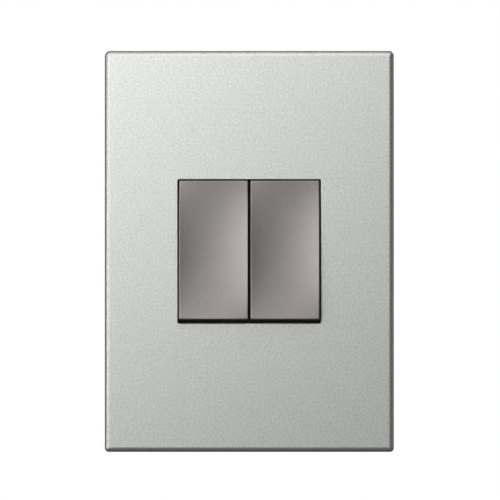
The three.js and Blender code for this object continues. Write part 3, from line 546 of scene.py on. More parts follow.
def carrier_pockets():
    """Shallow pockets in its rear face, which leave a lattice of ribs."""
    wide, tall = (5.8, 4.1, 1.2), (3.6, 6.6, 1.2)
    outer_z, inner_z, beside_x = 50, 39.5, 31
    ys = (CARRIER_BACK - 0.7, CARRIER_BACK + 1)
    pockets = []
    for side in SIDES:
        for x in (-28, -14, 0, 14, 28):
            pockets.append(plate_y(*wide, ys, x, side * outer_z))
            if abs(x) != 14:  # none in line with a leg
                pockets.append(plate_y(*wide, ys, x, side * inner_z))
        for z in (-24, -8, 8, 24):
            pockets.append(plate_y(*tall, ys, side * beside_x, z))
    return pockets


def plate_carrier():
    beyond = COLLAR_WALL + 0.3  # clear of the plate's collar
    rib_x, rib_foot, rib_top, rib_length = 37.5, 0.8, 0.5, 100
    root, top = CARRIER_BACK - OVERLAP, CARRIER_BACK + 2
    ring = plate_y(CARRIER_HALF_X, CARRIER_HALF_Z, 3, (CARRIER_FRONT, CARRIER_BACK))
    opening = plate_y(OPENING_HALF_X + beyond, OPENING_HALF_Z + beyond, 0.8, (PLATE_FRONT, 0))
    added = [snap_leg(x, z) for x in SIDES for z in SIDES]
    for side in SIDES:
        x = side * rib_x
        rib = [(x - rib_foot, root), (x - rib_top, top), (x + rib_top, top), (x + rib_foot, root)]
        added.append(prism(rib, span(rib_length), "z"))
    ring = join(cut(ring, opening, *carrier_pockets()), *added)
    piece(ring, "plate_carrier", "black_plastic", edge=0.15)


def strap_holes():
    """The opening for the modules, slots for screws and legs, and spare fixing holes."""
    through = (STRAP_FRONT - 2, 1.5)
    slot_length, slot_width, tip_hole_z = 8.4, 4.4, 50
    side_x, side_hole_z, side_slot_z = 29, 31, 16
    holes = [rod("y", SCREW_HOLE, through, 0, GROUND_Z),
             plate_y(23.5, 24.2, 0.6, through)]
    for side in SIDES:
        slot = rounded(slot_length / 2, slot_width / 2, slot_width / 2,
                       z=side * BOX_SCREW_Z, steps=12)
        holes += [prism(slot, through, "y"), rod("y", 1.8, through, 0, side * tip_hole_z)]
        for other in SIDES:
            x = side * side_x
            holes += [plate_y(LEG_WIDTH / 2 + 0.5, 1.2, 0.3, through, side * LEG_X, other * LEG_Z),
                      rod("y", 1.6, through, x, other * side_hole_z),
                      plate_y(1.6, 3.4, 1.55, through, x, other * side_slot_z)]
    return holes


def mounting_strap():
    """Ears, side flanges, bearing pads, break-off scores, and beads: ridges with hollow backs."""
    flange_length, pad_x, pad_z, score_z = 68, 14.5, 48.5, 46.2
    bead_x, bead_z = 20.2, 42.5
    ys = (STRAP_FRONT, STRAP_BACK)
    blank = join(plate_y(STRAP_HALF_X, STRAP_HALF_Z, 3, ys),
                 plate_y(EAR_HALF_X, EAR_HALF_Z, 5, ys))
    added, ridges, hollows = [], [], []
    for side in SIDES:
        flange = on_side(side, STRAP_HALF_X - STRAP_THICKNESS, STRAP_HALF_X)
        added.append(slab(flange, (STRAP_LOW.y, STRAP_BACK), span(flange_length)))
        for other in SIDES:
            added.append(plate_y(4.5, 3.5, 0.9, (STRAP_BACK - OVERLAP, 0),
                                 side * pad_x, other * pad_z))
            x, z = side * bead_x, other * bead_z
            ridges.append(plate_y(0.9, 5.2, 0.88, (STRAP_FRONT - 0.45, STRAP_FRONT + 0.2), x, z))
            hollows.append(plate_y(0.5, 4.8, 0.48, (STRAP_FRONT + 0.1, STRAP_BACK + 0.5), x, z))
    scores = [slab(span(40), (STRAP_FRONT - 0.5, STRAP_FRONT + 0.18), span(0.35, side * score_z))
              for side in SIDES]
    strap = cut(join(blank, *added, *ridges), *strap_holes(), *hollows)
    piece(cut(strap, *scores), "mounting_strap", "zinc_steel", edge=0.12)


# ------ screws and small plates
def head_profile(radius, height):
    """Half the outline of a raised screw head, from its crown to its underside at y = 0."""
    rim = -0.45 * height
    points = [(0, -height)]
    for sine, cosine in quarter(8)[1:]:
        points.append((radius * sine, rim - (height + rim) * cosine))
    return points + [(radius, -0.12), (radius - 0.12, 0)]


def threaded_screw(head, shank, length, pitch, sides=40):
    """A screw along Y as one skin: a turned head, then a shank with a helical thread."""
    minor, start, rows = shank - 0.3 * pitch, 0.001, int(length / pitch * 7)
    loops = turned(head, sides)
    for row in range(rows + 1):
        y = start + (length - start) * row / rows
        fade = max(0.0, min(1.0, (y - 0.4) / pitch, (length - y) / (1.5 * pitch)))
        loop = []
        for i, (a, b) in enumerate(circle(1, sides=sides)):
            phase = (y / pitch - i / sides) % 1
            crest = min(1.5 * (1 - abs(2 * phase - 1)), 1)
            radius = minor + (shank - minor) * crest * fade if row else minor + 0.15
            loop.append((radius * a, y, radius * b))
        loops.append(loop)
    return loft(loops)


def slot_tool(head_radius, height, width, depth):
    return slab(span(2.4 * head_radius), (-height - 1, -height + depth), span(width))


def cross_tool(height, reach, width, depth):
    """A tapered four-wing recess."""
    outline = [(-reach, -height - 0.5), (reach, -height - 0.5),
               (0.35 * reach, -height + depth), (-0.35 * reach, -height + depth)]
    return [turn(prism(outline, span(width), "z"), angle, "Y") for angle in (0, math.pi / 2)]


def combination_screw(radius, height, shank, length, pitch, slot, cross):
    """A screw whose raised head has a slot (width, depth) and a cross (reach, width, depth)."""
    screw = threaded_screw(head_profile(radius, height), shank, length, pitch)
    return cut(screw, slot_tool(radius, height, *slot), *cross_tool(height, *cross))


def box_screws():
    for name, z, angle in (("top", BOX_SCREW_Z, 24), ("bottom", -BOX_SCREW_Z, -37)):
        screw = combination_screw(radius=3.5, height=2.2, shank=1.7, length=23.5, pitch=0.8,
                                  slot=(0.9, 1.05), cross=(1.9, 0.95, 1.7))
        piece(turn(screw, math.radians(angle), "Y"), f"box_screw_{name}", "screw_steel",
              offset=(0, STRAP_FRONT - 0.3, z))


def screw_retainers():
    """Fibre squares with slits, which hold a screw once it is pushed through."""
    slit, width, through = (1.5, 4.2), 0.25, (-1, 2)
    for name, z in (("top", BOX_SCREW_Z), ("bottom", -BOX_SCREW_Z)):
        square = plate_y(5.5, 5.5, 0.9, (0, 0.8))
        slits = [slab(span(width), through, on_side(side, *slit)) for side in SIDES]
        slits += [slab(on_side(side, *slit), through, span(width)) for side in SIDES]
        piece(cut(square, rod("y", 2.05, through), *slits), f"screw_retainer_{name}",
              "vulcanised_fibre", edge=0.06, offset=(0, 0, z))


def saddle_clamp(half_x, half_z, thickness=1.0):
    """A clamp plate, with grooves that bite the wire beside its hole."""
    plate = plate_y(half_x, half_z, 0.8, (0, thickness))
    margin, pitch, half_width, depth = 0.45, 0.55, 0.16, 0.14
    grooves = []
    for side in SIDES:
        for k in range(3):
            x = side * (half_x - margin - pitch * k)
            groove = [(x - half_width, -0.1), (x + half_width, -0.1), (x, depth)]
            grooves.append(prism(groove, span(3 * half_z), "z"))
    return cut(plate, rod("y", SCREW_HOLE, (-1, thickness + 1)), *grooves)


def ground_terminal():
    clamp = saddle_clamp(4.5, 4.5)
    piece(clamp, "ground_clamp", "zinc_steel", edge=0.1, offset=(0, 0, GROUND_Z))
    radius, height = 3.5, 2.2
    head = [(0, -height), (2.6, -height), (3.03, -2.0), (3.03, -0.1), (2.9, 0)]
    hexagon = prism(circle(radius, sides=6), (-2.05, -0.02), "y")
    screw = cut(join(threaded_screw(head, 1.9, 4.9, 0.8), hexagon),
                slot_tool(radius, height, 0.9, 1.1))
    piece(turn(screw, math.pi, "X"), "ground_screw", "green_screw", offset=(0, 1.3, GROUND_Z))


# ------ switch module, fixed pieces
BEZEL_HALF_X, BEZEL_HALF_Z = 11.35, 23.8
BEZEL_DECK, BEZEL_BACK, BEZEL_LIP = -1.0, 6.0, -2.5
END_WALL = 0.85  # thickness of the raised lip at each end of the deck
FLANGE_END = 26.4
PIN_RADIUS, PIN_HOLE = 1.0, 1.3
HOUSING_LOW, HOUSING_HIGH = node_box("left_switch_housing")
HOUSING_HALF_X, HOUSING_HALF_Z = 11.15, 21.0
HOUSING_FRONT, HOUSING_BACK = HOUSING_LOW.y, HOUSING_HIGH.y
FLOOR = HOUSING_BACK - 1.4
BASE_BACK = FLOOR - 0.3
LABEL_HALF_X, LABEL_HALF_Z, LABEL_DEPTH, LABEL_MARGIN = 6, 7, 0.4, 0.2
CAVITY_Z, POCKET_Z = 16.2, 17.2
TAB_Z, TAB_FRONT = 17.5, 17.6
SCREW_Y = 21.6
LOAD_ARM = node_box("left_load_terminal")[0].y
CONTACT_Z = -7.4
RIVET_HOLE, CONTACT_HEAD, CONTACT_GAP = 1.2, 0.9, 0.15
BLADE_HALF_X = 2.75


def bezel_end(side):
    """The lip, the flange that lies on the strap, the hook behind it and the long snap arm."""
    inner, outer = BEZEL_HALF_Z - END_WALL, BEZEL_HALF_Z
    clip_width = 8
    flange_half = (FLANGE_END - inner) / 2
    hook = [(0, outer - 1), (0, outer + 1.2), (0.35, outer + 1.2), (2.4, outer - 0.9),
            (2.4, outer - 1)]
    start, end, inside = BEZEL_BACK - 1, 13, HOUSING_HALF_Z + 0.3
    arm = [(start, inside), (end - 0.8, inside), (end, inside + 0.6), (end, inside + 1),
           (start, inside + 1)]
    arm = prism([(y, side * z) for y, z in arm], span(clip_width), "x")
    window = slab(span(3.6), (8.6, 11.4), on_side(side, inside - 1, inside + 2))
    return [
        slab(span(2 * BEZEL_HALF_X), (BEZEL_LIP, BEZEL_DECK + OVERLAP),
             on_side(side, inner, outer)),
        plate_y(10.6, flange_half, 0.7, (BEZEL_LIP, BEZEL_LIP + 1), 0,
                side * (inner + flange_half)),
        prism([(y, side * z) for y, z in hook], span(clip_width), "x"),
        cut(arm, window),
    ]


def pivot_lug(side):
    """A round-topped ear that holds one end of the pivot pin."""
    root, foot = BEZEL_DECK + OVERLAP, 2.9
    outline = [(root, -foot), *half_turn(2.4, 9, PIVOT_Y, -1), (root, foot)]
    return prism(outline, on_side(side, 8, 9.6), "x")


def strap_flange(side):
    """The flange that rests over the strap beside the opening, stepped round the paddle."""
    gap, reach, front, foot = 0.05, 12.65, -2.4, 0.5
    root, wall, back = BEZEL_HALF_X - 0.2, BEZEL_HALF_X + gap, BEZEL_HALF_X + 0.5
    outline = [(root, BEZEL_DECK + gap), (wall, BEZEL_DECK + gap), (wall, front), (reach, front),
               (reach, front + 1), (back, front + 1), (back, foot), (root, foot)]
    return prism([(side * x, y) for x, y in outline], span(2 * BEZEL_HALF_Z), "z")


def seam_laps():
    """Thin laps that close the seam to the other module, on its deck and on both end lips."""
    inner, start = BEZEL_HALF_Z - END_WALL, BEZEL_HALF_X - 0.4
    lap, filler, thickness = BEZEL_HALF_X + 0.8, BEZEL_HALF_X + 0.4, 0.28
    laps = []
    for front, (low, high), extra in ((BEZEL_DECK, span(2 * inner), 0.45),
                                      (BEZEL_LIP, (inner, BEZEL_HALF_Z), 0),
                                      (BEZEL_LIP, (-BEZEL_HALF_Z, -inner), 0)):
        laps.append(slab((start, lap), (front - thickness, front - 0.02), (low, high)))
        laps.append(slab((start, filler), (front - thickness, BEZEL_DECK + OVERLAP),
                         (low - extra, high + extra)))
    return laps


def bezel_shape():
    """The deck with its walls, ends and lugs; shallow pockets in front and ribs behind."""
    wall, pocket_depth, rib_z = 1.4, 0.35, 12
    body = plate_y(BEZEL_HALF_X, BEZEL_HALF_Z, 0.3, (BEZEL_DECK, BEZEL_BACK))
    under = plate_y(BEZEL_HALF_X - wall, 21.5, 0.8, (BEZEL_DECK + wall, BEZEL_BACK + 1))
    stem_opening = plate_y(7.9, 5, 0.8, (-5, 4))
    pin_hole = rod("x", PIN_HOLE, span(30), PIVOT_Y, 0)
    added = [*bezel_end(-1), *bezel_end(1), pivot_lug(-1), pivot_lug(1)]
    pockets = [plate_y(7.2, 3.6, 1, (BEZEL_DECK - 1, BEZEL_DECK + pocket_depth), 0, side * z)
               for side in SIDES for z in (10.6, 18.8)]
    ribs = [slab(span(2 * BEZEL_HALF_X - 2.5), (BEZEL_DECK + 1, BEZEL_DECK + 2.6),
                 span(0.9, side * rib_z)) for side in SIDES]
    return cut(join(cut(body, under), *added, *ribs), stem_opening, pin_hole, *pockets)


def housing_end_cuts(side):
    """A terminal's pocket at one end, its screw hole, wire holes and release slot."""
    through, shallow = (FLOOR - 1, HOUSING_BACK + 1), (HOUSING_BACK - 0.5, HOUSING_BACK + 1)
    cuts = [
        slab(span(13), (12.3, FLOOR), on_side(side, POCKET_Z, 25)),
        slab(span(19.7), (HOUSING_FRONT - 1, 11), on_side(side, POCKET_Z, 20)),
        rod("z", 2.4, on_side(side, CAVITY_Z - 1, POCKET_Z + 1), 0, SCREW_Y),
        plate_y(0.9, 1.4, 0.25, through, 0, side * 18.9),
    ]
    for x in (-3.4, 3.4):
        z = side * (POCKET_Z + 1.7)
        cuts += [rod("y", 1.4, through, x, z),
                 rod("y", 1.3, (HOUSING_BACK - 0.7, HOUSING_BACK + 0.1), x, z, 2.05)]
    return cuts + [plate_y(1.1, 4.2, 0.4, shallow, x, side * 13) for x in (-9, 9)]


def housing_guides(side):
    """Rails for the terminal blade, and the wedge that the bezel's arm snaps over."""
    rail = on_side(side, BLADE_HALF_X + 0.3, BLADE_HALF_X + 1.3)
    bridge = on_side(side, BLADE_HALF_X + 0.3, 5.4)
    below, above, foot = (-1.6, -0.8), (0.8, 1.6), FLOOR + OVERLAP
    wedge = [(9, HOUSING_HALF_Z - 0.5), (11, HOUSING_HALF_Z - 0.5), (11, HOUSING_HALF_Z + 1),
             (9.4, HOUSING_HALF_Z)]
    return [
        slab(rail, (18.2, foot), below),
        slab(rail, (18.2, 24), above),
        slab(bridge, (23.2, 24), above),
        slab(on_side(side, 4.4, 5.4), (23.6, foot), above),
        prism([(y, side * z) for y, z in wedge], span(3), "x"),
    ]


def label_relief():
    """A raised switch symbol and a strip gauge in the recess on the back."""
    ys = (HOUSING_BACK - LABEL_DEPTH - 0.15, HOUSING_BACK - 0.2)
    through = (ys[0] - 1, ys[1] + 1)
    stroke_width, gauge_width, gauge_x, gauge_half = 0.34, 0.3, -4.2, 4.5
    shapes = [cut(rod("y", 0.75, ys, 0, z), rod("y", 0.42, through, 0, z)) for z in (-3.2, 2.6)]
    for x, z, angle, length in ((0, -5, 0, 2.2), (0, 4.4, 0, 2.2), (0.85, -0.55, 0.42, 4.4)):
        stroke = slab(span(stroke_width), ys, span(length))
        shapes.append(turn(stroke, angle, "Y", (x, 0, z)))
    shapes.append(slab(span(gauge_width, gauge_x), ys, span(2 * gauge_half)))
    return shapes + [slab(span(1.6, gauge_x), ys, span(gauge_width, side * gauge_half))
                     for side in SIDES]


def housing_shape():
    """The rear cup: a cavity and pockets, ribs outside and rails for the terminals."""
    body = plate_y(HOUSING_HALF_X, HOUSING_HALF_Z, 0.7, (HOUSING_FRONT, HOUSING_BACK))
    cavity = plate_y(9.85, CAVITY_Z, 0.6, (HOUSING_FRONT - 1, FLOOR))
    load_ys = (LOAD_ARM - 0.3, LOAD_ARM + 1.1)
    slots = [
        slab(span(8.4), (24.5, FLOOR), (CAVITY_Z - 1, POCKET_Z + 1)),
        slab(span(7.4), load_ys, (-POCKET_Z - 1, -CAVITY_Z + 1)),
        plate_y(LABEL_HALF_X, LABEL_HALF_Z, 0.8, (HOUSING_BACK - LABEL_DEPTH, HOUSING_BACK + 1)),
    ]
    shell = cut(body, cavity, *slots, *housing_end_cuts(-1), *housing_end_cuts(1))
    arm_rest = slab(span(6), (LOAD_ARM + 1.1, FLOOR + OVERLAP), (-14.5, -12))
    ribs = [slab(on_side(side, 11, 11.32), (HOUSING_FRONT + 2, HOUSING_BACK - 2.5), span(1, z))
            for side in SIDES for z in (-13, -4.5, 4.5, 13)]
    rims = [slab(on_side(side, 9.9, 10.7), (BEZEL_BACK + 0.02, HOUSING_FRONT + OVERLAP),
                 span(2 * HOUSING_HALF_Z - 1)) for side in SIDES]
    return join(shell, arm_rest, *housing_guides(-1), *housing_guides(1), *ribs, *rims,
                *label_relief())


def pivot_pin_shape():
    end = [(0, 9.4), (0.75, 9.4), (0.93, 9.3), (PIN_RADIUS, 9.1)]
    pin = lathe([(radius, -along) for radius, along in end] + end[::-1])
    return turn(pin, math.pi / 2, "Z", (0, PIVOT_Y, 0))


def terminal_tab(side):
    """A rounded screw tab with its hole."""
    zs = on_side(side, TAB_Z, TAB_Z + 1)
    outline = rounded(4.8, (BASE_BACK - TAB_FRONT) / 2, 0.9, 0, (TAB_FRONT + BASE_BACK) / 2)
    return cut(prism(outline, zs, "z"), rod("z", SCREW_HOLE, (zs[0] - 1, zs[1] + 1), 0, SCREW_Y))


def common_terminal_shape():
    """A blade with a knife edge for the lever, on a foot that leads to the tab."""
    neck, edge_half = FULCRUM_Y + 0.4, 0.22
    blade = slab(span(2 * BLADE_HALF_X), (FULCRUM_Y + 0.35, BASE_BACK), span(1))
    knife = prism([(FULCRUM_Y, -edge_half), (FULCRUM_Y, edge_half), (neck, 0.5), (neck, -0.5)],
                  span(2 * BLADE_HALF_X), "x")
    foot = slab(span(7.6), (BASE_BACK - 1, BASE_BACK), (-0.5, TAB_Z + 0.6))
    return join(blade, knife, foot, terminal_tab(1))


def load_terminal_shape():
    """A stiffened arm from the tab to the fixed contact's hole."""
    near, far = 4.2, TAB_Z + 1
    arm = plate_y(3.3, (far - near) / 2, 0.7, (LOAD_ARM, LOAD_ARM + 0.8), 0, -(far + near) / 2)
    bead = plate_y(0.7, 3, 0.68, (LOAD_ARM + 0.55, LOAD_ARM + 1.0), 0, -12.6)
    hole = rod("y", RIVET_HOLE, (LOAD_ARM - 1, LOAD_ARM + 2), 0, CONTACT_Z)
    return cut(join(arm, terminal_tab(-1), bead), hole)


def contact_shape():
    """A contact rivet along Y: a domed silver face at y = 0, the shank and a spun head."""
    shank, end = 0.9, 2.0
    face = [(0, 0)] + [(2 * sine, 0.22 * (1 - cosine)) for sine, cosine in quarter(8)[1:-1]]
    return lathe(face + [
        (1.97, 0.26), (2, 0.36), (2, 0.84), (1.95, CONTACT_HEAD), (shank, CONTACT_HEAD),
        (shank, end), (1.5, end), (1.6, end + 0.1), (1.52, end + 0.32), (1.2, end + 0.45),
        (0.5, end + 0.5), (0.3, end + 0.38), (0, end + 0.36)])


# ------ switch module, moving pieces
def dish(x, z):
    """How deep the paddle's shallow hollow is at a point of its face."""
    return DISH_DEPTH * (1 - (x / PADDLE_HALF_X) ** 2) * (1 - (z / PADDLE_HALF_Z) ** 2)


def sag(z):
    """How far the whole face, edges included, bows inwards at a height."""
    return DISH_SAG * (1 - (z / PADDLE_HALF_Z) ** 2)


def paddle_shape(columns=50, rows=100):
    """A moulded cap: a finely gridded, dished face with rolled edges, and a hollow skirt."""
    bm = bmesh.new()
    back = -PADDLE_REACH + PADDLE_DEPTH
    inner_x, inner_z = PADDLE_HALF_X - PADDLE_ROLL, PADDLE_HALF_Z - PADDLE_ROLL

    def along(count, half, inner):
        steps = [-inner + 2 * inner * i / count for i in range(count + 1)]
        edges = [half - PADDLE_ROLL * (1 - sine) for sine, _ in quarter(5)[1:]]
        return [-e for e in reversed(edges)] + steps + edges

    xs, zs = along(columns, PADDLE_HALF_X, inner_x), along(rows, PADDLE_HALF_Z, inner_z)
    grid = []
    for z in zs:
        line = []
        for x in xs:
            out_x, out_z = max(abs(x) - inner_x, 0), max(abs(z) - inner_z, 0)
            beyond = max(out_x, out_z)
            shrink = beyond / math.hypot(out_x, out_z) if beyond else 1
            px = math.copysign(min(abs(x), inner_x) + out_x * shrink, x)
            pz = math.copysign(min(abs(z), inner_z) + out_z * shrink, z)
            drop = PADDLE_ROLL - math.sqrt(max(PADDLE_ROLL ** 2 - beyond ** 2, 0))
            sunk = sag(pz) + max(drop, dish(px, pz))
            line.append(bm.verts.new((px, -PADDLE_REACH + sunk, pz)))
        grid.append(line)
    for low, high in zip(grid, grid[1:]):
        for corners in zip(low, low[1:], high[1:], high):
            bm.faces.new(corners)
    border = (grid[0] + [line[-1] for line in grid[1:]] + grid[-1][-2::-1]
              + [line[0] for line in grid[-2:0:-1]])
    rings = [border]
    for y in (-PADDLE_REACH + 2.2, back):
        rings.append([bm.verts.new((v.co.x, y, v.co.z)) for v in border])
    skin(bm, rings)
    bm.faces.new(rings[-1])
    for vert in bm.verts:
        if vert.co.z < 0:
            vert.co.z *= 1 + PADDLE_FOOT / PADDLE_HALF_Z
    hollow = plate_y(PADDLE_HALF_X - PADDLE_WALL, PADDLE_HALF_Z - PADDLE_WALL, 0.5,
                     (-PADDLE_REACH + PADDLE_FACE, back + 1))
    return cut(as_object(bm), hollow)


def cradle_shape():
    """The carrier in the paddle's hollow: a ribbed plate, the hub of its pin and its stem."""
    gap = 0.3
    front = -PADDLE_REACH + PADDLE_FACE + gap
    back = front + 1.2
    plate = plate_y(PADDLE_HALF_X - PADDLE_WALL - gap, PADDLE_HALF_Z - PADDLE_WALL - gap, 0.5,
                    (front, back))
    root, radius, stem_end = back - OVERLAP, 2.6, 12.6
    hub = [(root, -3.4), (back + 0.7, -radius), *half_turn(radius, 10), (back + 0.7, radius),
           (root, 3.4)]
    parts = [prism(hub, span(14.8), "x"), rod("y", 3, (0, stem_end)),
             rod("y", 3, (stem_end, stem_end + 0.4), end_radius=2.75)]
    parts += [slab(on_side(side, 6.4, 7.4), (root, back + 1.5), span(38)) for side in SIDES]
    parts += [slab(span(14), (root, back + 1), span(0.9, z)) for z in (-17, -10, 10, 17)]
    pockets = [plate_y(2.4, 2.4, 0.5, (back - 0.5, back + 0.2), x, z)
               for x in (-3.2, 3.2) for z in (-13.5, 13.5)]
    bore = rod("y", 2, (SPRING_SEAT, 14))
    pin_hole = rod("x", PIN_HOLE, span(20))
    return cut(join(plate, *parts), bore, pin_hole, *pockets)


def tube(points, radius, sides=14):
    """A closed round wire along a line of points."""
    loops = []
    for i, point in enumerate(points):
        ahead, behind = points[min(i + 1, len(points) - 1)], points[max(i - 1, 0)]
        along = (ahead - behind).normalized()
        across = along.cross(Vector((0, 1, 0))).normalized()
        up = across.cross(along)
        loops.append([point + radius * (a * across + b * up)
                      for a, b in circle(1, sides=sides)])
    return loft(loops)


def spring_shape(turns=6, per_turn=36):
    """A compression spring whose pitch closes up in its end turns."""
    radius, wire, closing = 1.4, 0.25, 0.02025
    start, end = SPRING_SEAT + 0.3 + wire, PLUNGER_TOP - 0.3 - wire
    points = []
    for i in range(turns * per_turn + 1):
        t = i / (turns * per_turn)
        y = start + (end - start) * (t - closing * math.sin(4 * math.pi * t))
        angle = 2 * math.pi * turns * t
        points.append(Vector((radius * math.cos(angle), y, radius * math.sin(angle))))
    return tube(points, wire)


def compress_springs():
    """Gives each spring its own copy of its mesh."""
    for side, x in MODULES.items():
        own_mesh(bpy.data.objects[f"{side}_plunger_spring_visual"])


def plunger_shape():
    nose = [(1.7 * cosine, 13.8 + 1.7 * sine) for sine, cosine in quarter(10)[:-1]]
    return lathe([(0, PLUNGER_TOP), (1.5, PLUNGER_TOP), (1.7, PLUNGER_TOP + 0.2), (1.7, 11),
                  (1.58, 11.15), (1.58, 11.6), (1.7, 11.75), *nose, (0, 15.5)])


def lever_shape():
    """The see-saw: a plate with ears, a pressed rib and a hole for the contact's rivet."""
    front, back, ear_x = -1.1, -0.3, 3.55
    plate = plate_y(ear_x, 7.6, 0.9, (front, back), 0, -2)
    ear = [(front, -2), (1.1, -2), (1.6, -1.4), (1.6, 1.4), (1.1, 2), (front, 2)]
    ears = [prism(ear, on_side(side, ear_x - 0.5, ear_x), "x") for side in SIDES]
    rib = plate_y(0.8, 2.2, 0.78, (front - 0.14, front + 0.2), 0, 2.2)
    through = (front - 1, back + 1)
    notches = [slab(on_side(side, 2.85, 4), through, on_side(end, 2.3, 2.7))
               for side in SIDES for end in SIDES]
    return cut(join(plate, rib, *ears), rod("y", RIVET_HOLE, through, 0, CONTACT_Z), *notches)


# ------ building both modules
def place_pair(shape, node, slot, offset=(0, 0, 0), turn_x=0.0, body="base", **how):
    """Sets a shape and its twin into both modules, in place of that node."""
    shapes = {"left": shape, "right": add_object("twin", shape.data.copy())}
    for side, x in MODULES.items():
        rides = body if body == "base" else f"{side}_{body}"
        place = Vector((x, 0, 0)) + Vector(offset)
        piece(shapes[side], f"{side}_{node}", slot, rides, offset=place, turn_x=turn_x, **how)


def terminal_ends():
    clamp_z = TAB_Z + 1.3
    for name, side in (("common", 1), ("load", -1)):
        clamp = saddle_clamp(4, 3.7)
        place_pair(clamp, f"{name}_clamp", "zinc_steel", (0, SCREW_Y, side * clamp_z),
                   side * math.pi / 2, edge=0.08)
        screw = combination_screw(radius=3.2, height=2, shank=1.9, length=4.1, pitch=0.7,
                                  slot=(0.9, 1.0), cross=(1.7, 0.9, 1.5))
        place_pair(screw, f"{name}_screw", "brass", (0, SCREW_Y, side * (clamp_z + 1.3)),
                   -side * math.pi / 2)


def switch_bezels():
    """Each laps over the strap on its outer side, and the left one over the seam too."""
    for (side, x), outer in zip(MODULES.items(), SIDES):
        laps = seam_laps() if outer < 0 else []
        shape = join(bezel_shape(), strap_flange(outer), *laps)
        piece(shape, f"{side}_switch_bezel", "black_plastic", edge=0.1, offset=(x, 0, 0))


def switch_modules():
    switch_bezels()
    label_x, label_z = LABEL_HALF_X - LABEL_MARGIN, LABEL_HALF_Z - LABEL_MARGIN
    label = ((-label_x, HOUSING_BACK - 1, -label_z), (label_x, HOUSING_BACK, label_z))
    place_pair(housing_shape(), "switch_housing", "grey_thermoset", edge=0.1, crisp=label)
    place_pair(pivot_pin_shape(), "pivot_pin", "screw_steel")
    place_pair(common_terminal_shape(), "common_terminal", "brass", edge=0.08)
    place_pair(load_terminal_shape(), "load_terminal", "brass", edge=0.08)
    terminal_ends()
    fixed_at = (0, LOAD_ARM - CONTACT_GAP - CONTACT_HEAD, CONTACT_Z)
    place_pair(contact_shape(), "fixed_contact", "contact_silver", fixed_at)

    tilted = {"offset": (0, PIVOT_Y, 0), "turn_x": -ROCKER_TILT}
    place_pair(paddle_shape(), "paddle", "warm_grey_metallic", body="rocker", **tilted)
    place_pair(cradle_shape(), "paddle_cradle", "ivory_nylon", body="rocker", edge=0.1, **tilted)
    place_pair(spring_shape(), "plunger_spring", "screw_steel", body="rocker", **tilted)
    compress_springs()
    place_pair(plunger_shape(), "contact_plunger", "ivory_nylon", body="plunger", **tilted)

    lever_at = Vector((0, FULCRUM_Y, 0))
    contact_at = lever_at + Matrix.Rotation(LEVER_TILT, 3, "X") @ Vector(
        (0, CONTACT_HEAD - CONTACT_GAP, CONTACT_Z))
    place_pair(lever_shape(), "contact_lever", "brass", lever_at, LEVER_TILT, "lever", edge=0.06)
    place_pair(contact_shape(), "moving_contact", "contact_silver", contact_at,
               LEVER_TILT + math.pi, "lever")


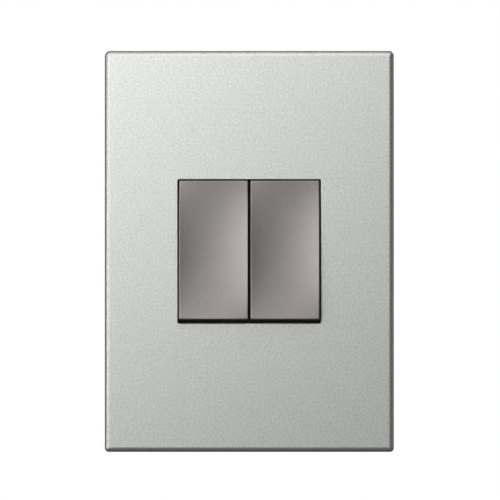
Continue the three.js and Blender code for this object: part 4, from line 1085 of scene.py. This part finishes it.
# ------ stage, light and camera
FRAME_WIDTH = 0.1622  # what the picture spans at the plate's face
LENS, SENSOR = 300, 36
AIM = Vector((0.00022, PLATE_FRONT * MM, 0.00047))
STAGE_RADIUS, STAGE_Z = 0.9, -0.145
AMBIENCE = 0.04
LAMPS = (  # place, watts and diameter of each; all aim at the origin
    # soft boxes left and overhead, as in the photograph
    ("far_left", (-0.997, -0.465, 0), 1.2, 0.35),
    ("near_left", (-0.424, -0.424, 0), 0.49, 0.3),
    ("axis_left", (-0.212, -1.076, 0.086), 0.54, 0.35),
    ("key_left", (-0.349, -1.034, 0.141), 1.24, 0.35),
    ("high_left", (-0.24, -1.046, 0.24), 0.35, 0.35),
    ("near_high_left", (-0.212, -0.52, 0.212), 0.25, 0.3),
    ("zenith", (0, -0.285, 1.063), 0.92, 0.35),
    ("overhead_low", (0, -0.634, 0.296), 0.57, 0.3),
    ("overhead_high", (0, -0.45, 0.536), 0.64, 0.3),
    ("front_fill", (0.221, -1.773, 0.221), 0.57, 0.5),
    # these light only the right-hand side and the back
    ("side_right", (0.95, 0.3, 0), 0.3, 0.4),
    ("back_left", (-0.45, 1.0, 0.45), 7.0, 0.5),
    ("back_right", (0.45, 1.0, 0.4), 4.0, 0.5),
)


def floor():
    """A pale disc below, which the metal doesn't mirror."""
    bm = bmesh.new()
    bm.faces.new([bm.verts.new((a, b, 0)) for a, b in circle(STAGE_RADIUS, sides=96)])
    made = as_object(bm, "floor")
    made.location.z = STAGE_Z
    made.visible_diffuse = made.visible_glossy = False
    pale = Finish("pale_floor", tint=((0.80, 0.80, 0.79), 0.01, 3), Roughness=0.85,
                  Emission_Color=(1, 1, 0.985, 1), Emission_Strength=0.8)
    made.data.materials.append(pale.material)


def lights():
    for name, place, watts, size in LAMPS:
        light = bpy.data.lights.new(name, "AREA")
        light.shape, light.size, light.energy = "DISK", size, watts
        made = add_object(name, light)
        made.location = place
        made.rotation_euler = (Vector() - Vector(place)).to_track_quat("-Z", "Y").to_euler()


def world():
    """White to the camera, and a low even ambience for everything else."""
    made = bpy.data.worlds.new("studio")
    made.use_nodes = True
    nodes, link = made.node_tree.nodes, made.node_tree.links.new
    path = nodes.new("ShaderNodeLightPath")
    both = nodes.new("ShaderNodeMixShader")
    link(path.outputs["Is Camera Ray"], both.inputs[0])
    for node, strength, entry in ((nodes["Background"], AMBIENCE, 1),
                                  (nodes.new("ShaderNodeBackground"), 1, 2)):
        node.inputs["Color"].default_value = (1, 1, 1, 1)
        node.inputs["Strength"].default_value = strength
        link(node.outputs[0], both.inputs[entry])
    link(both.outputs[0], nodes["World Output"].inputs["Surface"])
    bpy.context.scene.world = made


def camera():
    data = bpy.data.cameras.new("camera")
    data.lens, data.sensor_width = LENS, SENSOR
    data.clip_start, data.clip_end = 0.05, 20
    made = add_object("camera", data)
    made.location = AIM - Vector((0, FRAME_WIDTH * LENS / SENSOR, 0))
    made.rotation_euler = (math.pi / 2, 0, 0)
    bpy.context.scene.camera = made
    bpy.context.scene.view_settings.view_transform = "Standard"


cover_plate()
plate_carrier()
mounting_strap()
box_screws()
screw_retainers()
ground_terminal()
switch_modules()
floor()
lights()
world()
camera()
